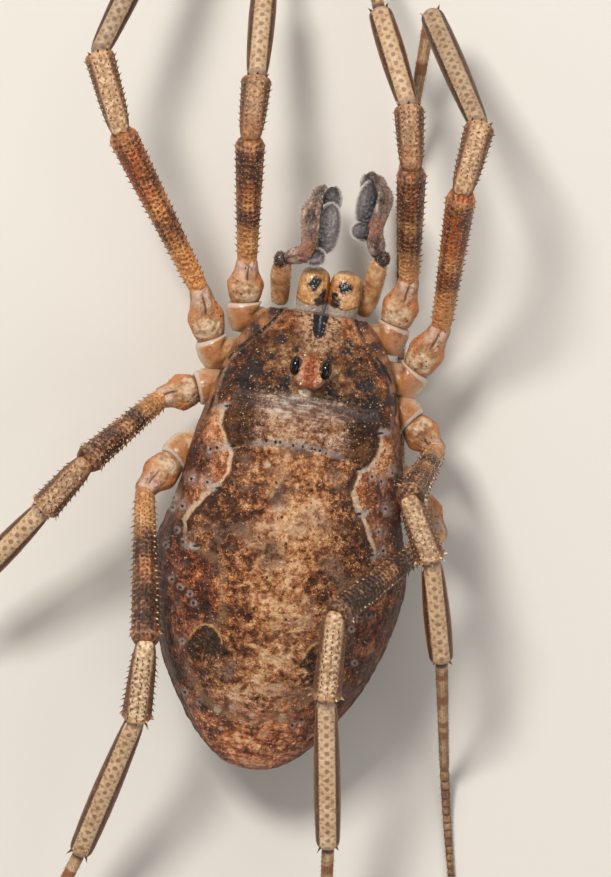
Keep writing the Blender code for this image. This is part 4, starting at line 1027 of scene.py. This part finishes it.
# Spines and bristles of the legs: small hard thorns in rows on femur, patella and tibia, leaning outwards,
# and short hairs on metatarsus and tarsus. One thorn is pulled to a point from a cone and sown in the rows.
bpy.ops.mesh.primitive_cone_add(vertices=5, radius1=1.0, radius2=0.62, depth=0.5, location=(0, 0, 0.15),
                                end_fill_type="NOTHING")
thorn = bpy.context.object
bpy.ops.object.transform_apply(location=True, rotation=True, scale=True)
bpy.ops.object.mode_set(mode="EDIT")
bpy.ops.mesh.select_all(action="DESELECT")
bpy.ops.object.mode_set(mode="OBJECT")
for vert in thorn.data.vertices:
    vert.select = vert.co.z > 0.3
bpy.ops.object.mode_set(mode="EDIT")
bpy.ops.mesh.select_mode(type="VERT")
bpy.ops.mesh.extrude_region_move(TRANSFORM_OT_translate={"value": (0.0, 0, 0.6)})
bpy.ops.mesh.merge(type="CENTER")
bpy.ops.mesh.select_all(action="SELECT")
bpy.ops.mesh.normals_make_consistent(inside=False)
bpy.ops.object.mode_set(mode="OBJECT")
thorn_points = points_of(thorn.data)
thorn_points = (thorn_points - (0, 0, thorn_points[:, 2].min())) / (1, 1, np.ptp(thorn_points[:, 2]))
thorn_faces = [tuple(face.vertices) for face in thorn.data.polygons]
bpy.data.objects.remove(thorn)


def sown(name, places):
    """One mesh of many thorns, each given as its foot, heading, length, half width and place (u, v) on the
    limb's unwrap."""
    count = len(thorn_points)
    points = np.empty((len(places), count, 3))
    patch = np.empty((len(places), count, 2))
    for i, (foot, heading, length, half_width, unwrap) in enumerate(places):
        across = heading.orthogonal().normalized()
        over = heading.cross(across)
        points[i] = (np.array(foot) + np.outer(thorn_points[:, 0] * half_width, across)
                     + np.outer(thorn_points[:, 1] * half_width, over)
                     + np.outer(thorn_points[:, 2] * length, heading))
        patch[i] = np.array(unwrap) + thorn_points[:, :2] * (1 - 0.6 * thorn_points[:, 2:3]) * 0.0015
    faces = []
    for i in range(len(places)):
        faces += [tuple(i * count + corner for corner in face) for face in thorn_faces]
    mesh = bpy.data.meshes.new(name)
    mesh.from_pydata(points.reshape(-1, 3).tolist(), [], faces)
    mark(mesh, "tip", np.tile(thorn_points[:, 2], len(places)))
    layer = mesh.uv_layers.new(name="OFBake")
    corners = np.empty(len(mesh.loops), int)
    mesh.loops.foreach_get("vertex_index", corners)
    layer.data.foreach_set("uv", patch.reshape(-1, 2)[corners].ravel())
    piece = bpy.data.objects.new(name, mesh)
    bpy.context.scene.collection.objects.link(piece)
    return piece


# Thorns have pale tips, hairs are dark, and granules and beads are horn
thorn_finish, at = start_finish("thorn_pale_tip")
tip = reading("tip")
fine = cloud(at, 22)
colour = shades(plus(tip, stray(fine, 0.3)), (0.0, (0.03, 0.013, 0.008)), (0.3, (0.08, 0.032, 0.016)),
                (0.55, (0.42, 0.24, 0.13)), (0.9, (0.8, 0.66, 0.5)))
end_finish(colour, plus(0.22, times(fine, 0.2)))
hair_finish, at = start_finish("hair_dark")
tip = reading("tip")
end_finish(mixed(tip, (0.05, 0.022, 0.012), (0.22, 0.11, 0.06)), plus(0.35, times(cloud(at, 22), 0.2)))

granule_finish, at = start_finish("granule_horn")
fine = cloud(at, 9)
end_finish(shades(fine, (0.4, (0.3, 0.13, 0.05)), (0.55, (0.6, 0.36, 0.19)), (0.68, (0.86, 0.68, 0.48))),
           plus(0.3, times(fine, 0.3)))


def both_sides(*rows):
    """Rows of thorns, each followed by its twin on the limb's other side unless it runs along the middle. A
    row is its angle from the side over the top, first and last place, spacing, length and half width."""
    made = []
    for angle, *sizes in rows:
        made.append((angle, *sizes))
        if angle % 180 != 90:
            made.append(((180 - angle) % 360, *sizes))
    return made


thorn_rows = {
    "trochanter": both_sides((60, 0.5, 0.95, 0.11, 0.04, 0.016), (15, 0.3, 0.8, 0.12, 0.04, 0.016)),
    "femur": both_sides((90, 0.06, 0.97, 0.085, 0.045, 0.019), (62, 0.06, 0.97, 0.085, 0.055, 0.02),
                        (34, 0.06, 0.97, 0.085, 0.05, 0.018), (6, 0.06, 0.97, 0.13, 0.1, 0.015),
                        (335, 0.2, 0.96, 0.15, 0.05, 0.015), (270, 0.25, 0.95, 0.17, 0.05, 0.015)),
    "patella": both_sides((90, 0.12, 0.95, 0.09, 0.05, 0.019), (60, 0.12, 0.95, 0.09, 0.06, 0.02),
                          (30, 0.12, 0.95, 0.09, 0.05, 0.018), (2, 0.12, 0.95, 0.12, 0.1, 0.015),
                          (50, 0.965, 0.97, 0.1, 0.13, 0.026), (90, 0.97, 0.975, 0.1, 0.11, 0.024)),
    "tibia": both_sides((52, 0.06, 0.97, 0.07, 0.04, 0.014), (342, 0.08, 0.97, 0.08, 0.045, 0.013),
                        (270, 0.1, 0.95, 0.1, 0.05, 0.014), (40, 0.975, 0.98, 0.1, 0.12, 0.026)),
}
bead_rows = {
    "femur": both_sides((32, 0.2, 0.97, 0.12, 0.05, 0.028), (20, 0.93, 0.97, 0.1, 0.08, 0.035)),
    "patella": both_sides((15, 0.9, 0.97, 0.06, 0.09, 0.034), (50, 0.93, 0.97, 0.1, 0.07, 0.03),
                          (50, 0.15, 0.9, 0.13, 0.04, 0.018)),
}
hair_rows = {
    "metatarsus": both_sides((30, 0.05, 0.97, 0.1, 0.1, 0.006), (90, 0.05, 0.97, 0.12, 0.09, 0.006),
                             (330, 0.05, 0.97, 0.1, 0.1, 0.006), (270, 0.05, 0.97, 0.12, 0.1, 0.006)),
    "tarsus": both_sides((40, 0.02, 0.99, 0.075, 0.09, 0.005), (90, 0.02, 0.99, 0.09, 0.08, 0.005),
                         (0, 0.02, 0.99, 0.075, 0.09, 0.005)),
}
draw = random.Random(5)
thorn_root = 0.012                            # how deep a thorn is rooted in the skin
hair_clearance = 0.01                         # least height of a hair's tip over the floor


def rows_on(leg, kind, path, rows, lean, strip):
    """Feet and headings of thorns in rows along a leg segment, each a little unlike the next."""
    skin = leg_skins[(*leg, kind)]
    bow = femur_bow if kind == "femur" else 0.0
    spots = np.array(path, float)
    reach = reaches(spots)
    made = []
    for angle, first, last, spacing, length, half_width in rows[kind]:
        count = max(1, int((last - first) * reach[-1] / spacing))
        for i in range(count):
            share = first + (last - first) * (i + 0.5 + draw.uniform(-0.08, 0.08)) / count
            at = share * reach[-1]
            centre = Vector(read_path(at, reach, spots))
            ahead, behind = (Vector(read_path(at + step, reach, spots)) for step in (0.02, -0.02))
            along = (ahead - behind).normalized()
            side = Vector((0, 0, 1)).cross(along).normalized()
            top = along.cross(side).normalized()
            turn = math.radians(angle + draw.uniform(-5, 5))
            normal = side * math.cos(turn) + top * math.sin(turn)
            foot = skin.ray_cast(centre + top * bow * math.sin(math.pi * share) + normal * 0.5, -normal)[0]
            if foot is None:
                continue
            foot = foot - normal * thorn_root
            tilt = math.radians(lean + draw.uniform(-9, 9))
            heading = normal * math.cos(tilt) + along * math.sin(tilt)
            size = draw.uniform(0.75, 1.2)
            unwrap = (strip[0] + strip[1] * share, 0.02 + 0.96 * (angle % 360) / 360)
            made.append((foot, heading, length * size, half_width * draw.uniform(0.85, 1.1), unwrap))
    return made


for leg, (joints, tarsus_path) in leg_plans.items():
    side_name, pair = leg
    leg_name = f"leg_{side_name}_{pair}"
    thorns, beads = [], []
    for i, kind in enumerate(("trochanter", "femur", "patella", "tibia")):
        thorns += rows_on(leg, kind, joints[i + 1:i + 3], thorn_rows, 42, (0.01 + 0.25 * i, 0.23))
    finish_piece(sown("thorns", thorns), f"{leg_name}_thorns", [],
                 hair_finish if pair == 4 else thorn_finish)
    if pair > 2:
        for i, kind in ((1, "femur"), (2, "patella")):
            beads += rows_on(leg, kind, joints[i + 1:i + 3], bead_rows, 20, (0.01 + 0.25 * i, 0.23))
        finish_piece(sown("beads", beads), f"{leg_name}_beads", [], granule_finish)
    hairs = rows_on(leg, "metatarsus", joints[5:7], hair_rows, 50, (0.01, 0.45))
    hairs += rows_on(leg, "tarsus", tarsus_path, hair_rows, 52, (0.5, 0.48))
    for foot, heading, length, half_width, unwrap in hairs:
        if foot.z + heading.z * length < hair_clearance:
            heading.z = (hair_clearance - foot.z) / length
    claw = (Vector(tarsus_path[-1]) - Vector(tarsus_path[-2])).normalized()
    claw_foot = Vector(tarsus_path[-1]) - claw * 0.03
    hairs.append((claw_foot, (claw + Vector((0, 0, -0.2))).normalized(), 0.13, 0.022, (0.99, 0.5)))
    finish_piece(sown("hairs", hairs), f"{leg_name}_hairs", [], hair_finish)


# Granules of the back: pale horny grains, close over the carapace and in rows along the plates behind it,
# with two rows of blunter ones on top of the eye hill. They are the same thorn, sown short and wide.
back = surface_of(body_skin, 1000, np.array(body_to_row))
grain_spacing = 0.11                          # across the body, in the rows along the plates
loose_grains = 1500
grain_spots = []
for side in (1, -1):
    for i in range(7):
        grain_spots.append((side * (0.13 + 0.05 * math.sin(math.pi * i / 6)), 0.58 + 0.085 * i, 0.05,
                            0.028))
for place, bend, _, _ in grooves:
    reach = float(curve(body_half_width, place)) * 0.86
    for i in range(int(2 * reach / grain_spacing)):
        across = -reach + grain_spacing * (i + 0.5) + draw.uniform(-0.03, 0.03)
        grain_spots.append((across, place + 0.07 + bend * across**2 + draw.uniform(-0.02, 0.02), 0.022,
                            0.017))
for i in range(loose_grains):
    along = -0.15 + 8.0 * draw.random()**1.35
    reach = float(curve(body_half_width, along))
    grain_spots.append((reach * draw.uniform(-0.95, 0.95), along, draw.uniform(0.014, 0.026),
                        draw.uniform(0.01, 0.018)))
grains_sown = []
for across, along, length, half_width in grain_spots:
    foot, normal = back.ray_cast(Vector((across, along, 6)), Vector((0, 0, -1)))[:2]
    if foot is not None:
        heading = (normal + Vector((0, 0.25, 0))).normalized()
        unwrap = (0.5 + 0.48 * across / 2.4, 0.02 + 0.11 * (along + 0.3))
        grains_sown.append((foot - normal * 0.006, heading, length, half_width, unwrap))
finish_piece(sown("granules", grains_sown), "back_granules", [], granule_finish)


# Chelicerae: the jaws. Each has a swollen golden base with black patches, and a hand that hangs from its
# front edge and ends in a fixed and a moving finger with small teeth. They hinge under the carapace's rim.
jaws_off_centre = 0.115                       # how far the pair sits to the right of the body's middle
jaw_apart = 0.285                             # from the pair's middle to that of each jaw
jaw_finish, at = start_finish("jaw_gold")
place = add("SeparateXYZ", {"Vector": at}).outputs
fine, mottle = cloud(at, 16, 3), cloud(at, 5, 3)
abs_x = unsigned(plus(place[0], jaws_off_centre))
colour = shades(plus(times(mottle, 0.7), times(fine, 0.35)), (0.36, (0.32, 0.12, 0.035)),
                (0.52, (0.56, 0.28, 0.1)), (0.68, (0.74, 0.48, 0.24)))
ragged = stray(cloud(at, 8, 3, 0.6), 0.26)
for patch_x, patch_y, size in ((0.275, -0.73, 0.125), (0.11, -0.42, 0.13), (0.09, -0.56, 0.09)):
    away = plus(span(minus(abs_x, patch_x), minus(place[1], patch_y)), ragged)
    colour = over(colour, (0.16, 0.06, 0.02), fade(away, size + 0.05, size - 0.02), 0.6)
    colour = over(colour, (0.014, 0.01, 0.008), fade(away, size, size - 0.03))
# Painted shade: the jaws darken towards the hand at their front, and downwards below the base
colour = over(colour, mixed(mottle, (0.1, 0.04, 0.015), (0.3, 0.15, 0.06)), fade(place[1], -0.95, -1.02))
colour = over(colour, (0.06, 0.026, 0.014), fade(place[2], 1.45, 0.95))
colour = over(colour, (0.34, 0.12, 0.035), fade(abs_x, 0.07, 0.035))
from_mid = minus(abs_x, jaw_apart)
collar = plus(place[1], times(mottle, 0.03), times(from_mid, from_mid, 1.3))
colour = over(colour, mixed(mottle, (0.28, 0.22, 0.18), (0.5, 0.43, 0.37)), fade(collar, -0.325, -0.29))
colour = over(colour, (0.1, 0.045, 0.02), fade(unsigned(plus(collar, 0.33)), 0.025, 0.008), 0.7)
end_finish(colour, plus(0.14, times(fine, 0.25)), (fine, 0.015), (cells(at, 14), -0.02),
           soft=(0.12, (0.0002, 0.0001, 0.00004)), coat=(0.3, 0.12))
jaw_base = drawn_out(((-0.02, 0.2), (0.02, 0.25), (0.12, 0.28), (0.4, 0.295), (0.7, 0.3), (0.86, 0.28),
                      (0.94, 0.232), (0.985, 0.16), (1.0, 0.09)), 16, 2)
jaw_hand = drawn_out(((0, 0.1), (0.03, 0.17), (0.12, 0.22), (0.32, 0.24), (0.6, 0.225), (0.85, 0.17),
                      (0.96, 0.12), (1.0, 0.06)), 14, 2)
jaw_finger = drawn_out(((0, 0.05), (0.2, 0.056), (0.5, 0.045), (0.8, 0.03), (0.95, 0.016), (1, 0.008)),
                       10, 2)
set_points(jaw_hand.data, points_of(jaw_hand.data) * (1, 1, 0.55))
set_points(jaw_base.data, points_of(jaw_base.data) * (1, 1, 0.93))
for side_name, side in (("left", 1), ("right", -1)):
    mid = side * jaw_apart - jaws_off_centre
    base = laid(jaw_base, [(mid, -0.1, 1.62), (mid, -0.6, 1.66), (mid, -1.03, 1.65)])
    finish_piece(base, f"chelicera_{side_name}_base_skin", [f"chelicera_{side_name}_base"],
                 jaw_finish)
    hand = laid(jaw_hand, [(mid, -0.88, 1.52), (mid, -0.93, 1.4), (mid, -0.95, 1.2), (mid, -0.95, 0.93)],
                upright=(0, -1, 0))
    teeth = []
    for lean in (-1, 1):
        knuckle = Vector((mid + 0.055 * lean, -0.95, 1.04))
        path = [knuckle, knuckle + Vector((0.035 * lean, 0.03, -0.14)),
                knuckle + Vector((0.02 * lean, 0.07, -0.27)), knuckle + Vector((-0.02 * lean, 0.1, -0.37))]
        finger = laid(jaw_finger, path, upright=(0, -1, 0))
        finish_piece(finger, f"chelicera_{side_name}_finger_{'outer' if lean == side else 'inner'}",
                     [], jaw_finish)
        for i in range(6):
            share = 0.25 + 0.11 * i
            foot = path[0].lerp(path[3], share) + Vector((0.012 * lean, 0, 0))
            teeth.append((foot, Vector((-lean, 0.1, -0.2)).normalized(), 0.035, 0.012,
                          (0.1 + 0.1 * i, 0.3 + 0.2 * lean)))
    finish_piece(hand, f"chelicera_{side_name}_hand_skin", [f"chelicera_{side_name}_hand"],
                 jaw_finish)
    finish_piece(sown("teeth", teeth), f"chelicera_{side_name}_teeth", [], hair_finish)
for pattern in (jaw_base, jaw_hand, jaw_finger):
    bpy.data.objects.remove(pattern)


# Pedipalps: the feelers beside the jaws. Swollen segments with soft pads on the inner side, which carry a
# dense brush of pale-tipped bristles. Tubes and pads are joined and melted into one skin for each part.
palp_femur_paths = {
    "left": ((0.74, -0.3, 1.2), (0.77, -0.6, 1.4), (0.8, -0.85, 1.7), (0.78, -1.08, 1.98)),
    "right": ((-0.76, -0.3, 1.2), (-0.85, -0.6, 1.32), (-0.89, -0.95, 1.6), (-0.92, -1.33, 1.96)),
}
palp_femur_bumps = {"left": (0.84, -1.08, 1.98), "right": (-1.0, -1.36, 1.94)}
palp_outer_paths = {
    "left": ((0.76, -1.1, 2.02), (0.52, -1.19, 2.14), (0.39, -1.3, 2.15), (0.37, -1.55, 2.1),
        (0.41, -1.96, 1.97), (0.39, -2.12, 1.84), (0.33, -2.36, 1.5), (0.25, -2.52, 0.98)),
    "right": ((-0.9, -1.36, 2.0), (-0.8, -1.66, 2.11), (-0.76, -1.88, 2.08), (-0.78, -2.1, 2.03),
        (-0.82, -2.42, 1.91), (-0.78, -2.56, 1.79), (-0.69, -2.74, 1.46), (-0.58, -2.84, 0.98)),
}
palp_pads = {
    "left": (((0.24, -1.2, 2.1), (0.17, 0.14, 0.12)), ((0.08, -1.74, 2.0), (0.2, 0.44, 0.17)),
        ((0.1, -2.27, 1.7), (0.15, 0.25, 0.17))),
    "right": (((-0.56, -1.79, 2.06), (0.19, 0.15, 0.12)), ((-0.59, -2.24, 1.97), (0.2, 0.45, 0.19)),
        ((-0.56, -2.66, 1.64), (0.15, 0.24, 0.18))),
}
# Outer palp brown with a dark seam, its pads slate grey, and the femur amber with a black knob
palp_skin, at = start_finish("palp_skin")
fine, mottle, streaky = cloud(at, 17, 3), cloud(at, 5, 3), cloud(body_millimetres((9, 1.8, 9)), 1.0, 2)
colour = shades(plus(times(mottle, 0.6), times(streaky, 0.5)), (0.42, (0.055, 0.03, 0.022)),
                (0.56, (0.26, 0.15, 0.1)), (0.7, (0.58, 0.42, 0.33)))
across = reading("inward")
inward = unsigned(plus(across, stray(mottle, 0.1)))
colour = over(colour, (0.035, 0.022, 0.018), fade(inward, 0.075, 0.03), 0.7)
edge_pale = times(fade(inward, 0.09, 0.13), fade(fine, 0.4, 0.6))
colour = over(colour, (0.56, 0.42, 0.32), edge_pale, 0.5)
colour = over(colour, mixed(fine, (0.16, 0.04, 0.02), (0.4, 0.14, 0.06)), reading("knob"), 0.75)
pad_tone = shades(plus(across, stray(fine, 0.1)), (0.12, (0.018, 0.015, 0.017)),
                  (0.27, (0.075, 0.062, 0.065)), (0.4, (0.26, 0.22, 0.215)))
colour = over(colour, pad_tone, fade(reading("pad"), 0.3, 0.8))
end_finish(colour, plus(0.22, times(fine, 0.35)), (fine, 0.025), (cells(at, 13), -0.03),
           soft=(0.12, (0.0002, 0.0001, 0.00004)))
palp_amber, at = start_finish("palp_amber")
fine, mottle = cloud(at, 15, 3), cloud(at, 4, 2)
colour = shades(plus(times(mottle, 0.7), times(fine, 0.3)), (0.38, (0.36, 0.15, 0.06)),
                (0.52, (0.62, 0.34, 0.15)), (0.66, (0.8, 0.55, 0.31)))
colour = over(colour, mixed(fine, (0.02, 0.012, 0.01), (0.12, 0.06, 0.04)),
              fade(reading("knob"), 0.35, 0.75))
end_finish(colour, plus(0.16, times(fine, 0.25)), (fine, 0.015), (mottle, 0.02),
           soft=(0.3, (0.0003, 0.00015, 0.00006)))

bristle_finish, at = start_finish("bristle_silver")
end_finish(shades(reading("tip"), (0.05, (0.06, 0.045, 0.04)), (0.35, (0.26, 0.21, 0.19)),
                  (0.75, (0.85, 0.79, 0.74))), plus(0.3, times(cloud(at, 22), 0.2)))


palp_grain = 0.014                            # fineness of the palps' melted skins


def melted(parts):
    """Joins overlapping forms, rebuilds them as one closed skin and smooths away the creases."""
    bpy.ops.object.select_all(action="DESELECT")
    for part in parts:
        part.select_set(True)
    bpy.context.view_layer.objects.active = parts[0]
    bpy.ops.object.join()
    piece = bpy.context.object
    applied(piece, "REMESH", mode="VOXEL", voxel_size=palp_grain)
    applied(piece, "SMOOTH", iterations=8)
    bpy.ops.object.shade_smooth()
    return piece


def pad_ball(centre, half_sizes):
    bpy.ops.mesh.primitive_uv_sphere_add(segments=24, ring_count=16, radius=1, location=centre,
                                         scale=half_sizes)
    bpy.ops.object.transform_apply(location=True, rotation=True, scale=True)
    return bpy.context.object


palp_femur_tube = drawn_out(((0, 0.14), (0.1, 0.16), (0.3, 0.178), (0.6, 0.185), (0.85, 0.17), (0.96, 0.14),
                             (1, 0.07)), 12, 2)
palp_outer_tube = drawn_out(((0, 0.08), (0.03, 0.13), (0.1, 0.18), (0.17, 0.17), (0.21, 0.145),
                             (0.25, 0.15), (0.36, 0.19), (0.5, 0.215), (0.57, 0.19), (0.61, 0.14),
                             (0.66, 0.135), (0.8, 0.125), (0.92, 0.09), (1, 0.04)), 12, 2)
for side_name, side in (("left", 1), ("right", -1)):
    femur_path, outer_path = palp_femur_paths[side_name], palp_outer_paths[side_name]
    femur = laid(palp_femur_tube, femur_path)
    set_points(femur.data, (points_of(femur.data) - femur_path[1]) * (1.08, 1, 1) + femur_path[1])
    bump = palp_femur_bumps[side_name]
    femur = melted([femur, pad_ball(bump, (0.12, 0.14, 0.13))])
    co = points_of(femur.data)
    mark(femur.data, "knob", 1 - ease(0.1, 0.24, np.linalg.norm(co - bump, axis=1)))
    outer = laid(palp_outer_tube, outer_path)
    pads = palp_pads[side_name]
    outer = melted([outer] + [pad_ball(*pad) for pad in pads])
    co = points_of(outer.data)
    near = np.min([np.linalg.norm((co - centre) / sizes, axis=1) for centre, sizes in pads], axis=0)
    middle = np.interp(-co[:, 1], [-p[1] for p in outer_path], [p[0] for p in outer_path])
    inward = -side * (co[:, 0] - middle)
    pad_share = (1 - ease(1.0, 1.35, near)) * ease(0.0, 0.16, inward)
    mark(outer.data, "pad", pad_share)
    mark(outer.data, "inward", inward)
    mark(outer.data, "knob", 1 - ease(0.15, 0.32, np.linalg.norm(co - outer_path[2], axis=1)))

    bristles = []
    for piece, share_of, count in ((outer, pad_share, 3600), (outer, 1 - pad_share, 300),
                                   (femur, None, 110)):
        mesh = piece.data
        faces = len(mesh.polygons)
        centres, normals, areas = np.empty(faces * 3), np.empty(faces * 3), np.empty(faces)
        mesh.polygons.foreach_get("center", centres)
        mesh.polygons.foreach_get("normal", normals)
        mesh.polygons.foreach_get("area", areas)
        first = np.empty(faces, int)
        mesh.polygons.foreach_get("loop_start", first)
        corner = np.empty(len(mesh.loops), int)
        mesh.loops.foreach_get("vertex_index", corner)
        on_pad = share_of is pad_share
        if share_of is None:
            chance = areas * (0.05 + (np.linalg.norm(centres.reshape(-1, 3) - bump, axis=1) < 0.2))
        else:
            chance = areas * np.clip(share_of[corner[first]], 0, 1)
        if on_pad:
            flatness = np.abs(normals.reshape(-1, 3)[:, 2])
            chance = chance * ((1.02 - flatness)**3 * ease(0.14, 0.26, inward[corner[first]]))
        picks = np.random.default_rng(len(bristles) + 3).choice(faces, count, p=chance / chance.sum())
        for pick in picks:
            foot, normal = Vector(centres[3 * pick:3 * pick + 3]), Vector(normals[3 * pick:3 * pick + 3])
            lie = Vector((-side * 0.35 * on_pad, -0.75, -0.1))
            lie += Vector([draw.uniform(-0.2, 0.2) for _ in range(3)])
            heading = (normal + lie * 0.7).normalized()
            if on_pad:
                length = draw.uniform(0.05, 0.085) * (1 - 0.5 * max(normal.z, 0))
            else:
                length = draw.uniform(0.03, 0.06)
            unwrap = (0.02 + 0.96 * min(max((-foot.y - 0.2) / 2.8, 0), 1),
                      0.5 + 0.48 * math.atan2(normal.z, normal.x) / math.pi)
            bristles.append((foot, heading, length, 0.004 if on_pad else 0.007, unwrap))
    finish_piece(femur, f"pedipalp_{side_name}_femur_skin", [f"pedipalp_{side_name}_femur"],
                 palp_amber)
    finish_piece(outer, f"pedipalp_{side_name}_outer_skin", [f"pedipalp_{side_name}_outer"],
                 palp_skin)
    finish_piece(sown("bristles", bristles), f"pedipalp_{side_name}_bristles", [],
                 bristle_finish)
for pattern in (palp_femur_tube, palp_outer_tube):
    bpy.data.objects.remove(pattern)


# Genital operculum: a flat tongue of hard skin that covers the underside between the coxae. It is a cushion
# pressed flat, rooted at the belly and narrowed towards its free front edge.
plate_finish, at = start_finish("plate_brown")
fine, mottle = cloud(at, 14, 3), cloud(at, 3, 3)
end_finish(shades(plus(times(mottle, 0.6), times(fine, 0.4)), (0.38, (0.1, 0.045, 0.02)),
                  (0.54, (0.27, 0.14, 0.07)), (0.7, (0.48, 0.31, 0.19))), plus(0.3, times(fine, 0.3)),
           (fine, 0.02), (cells(at, 8), -0.03))
bpy.ops.mesh.primitive_uv_sphere_add(segments=48, ring_count=32, radius=1, location=(0, 2.2, 0.8),
                                     scale=(0.44, 1.45, 0.14))
tongue = bpy.context.object
bpy.ops.object.transform_apply(location=True, rotation=True, scale=True)
co = points_of(tongue.data)
co[:, 0] *= 0.72 + 0.28 * ease(0.75, 2.2, co[:, 1])
set_points(tongue.data, co)
bpy.ops.object.shade_smooth()
finish_piece(tongue, "operculum_plate", [], plate_finish)
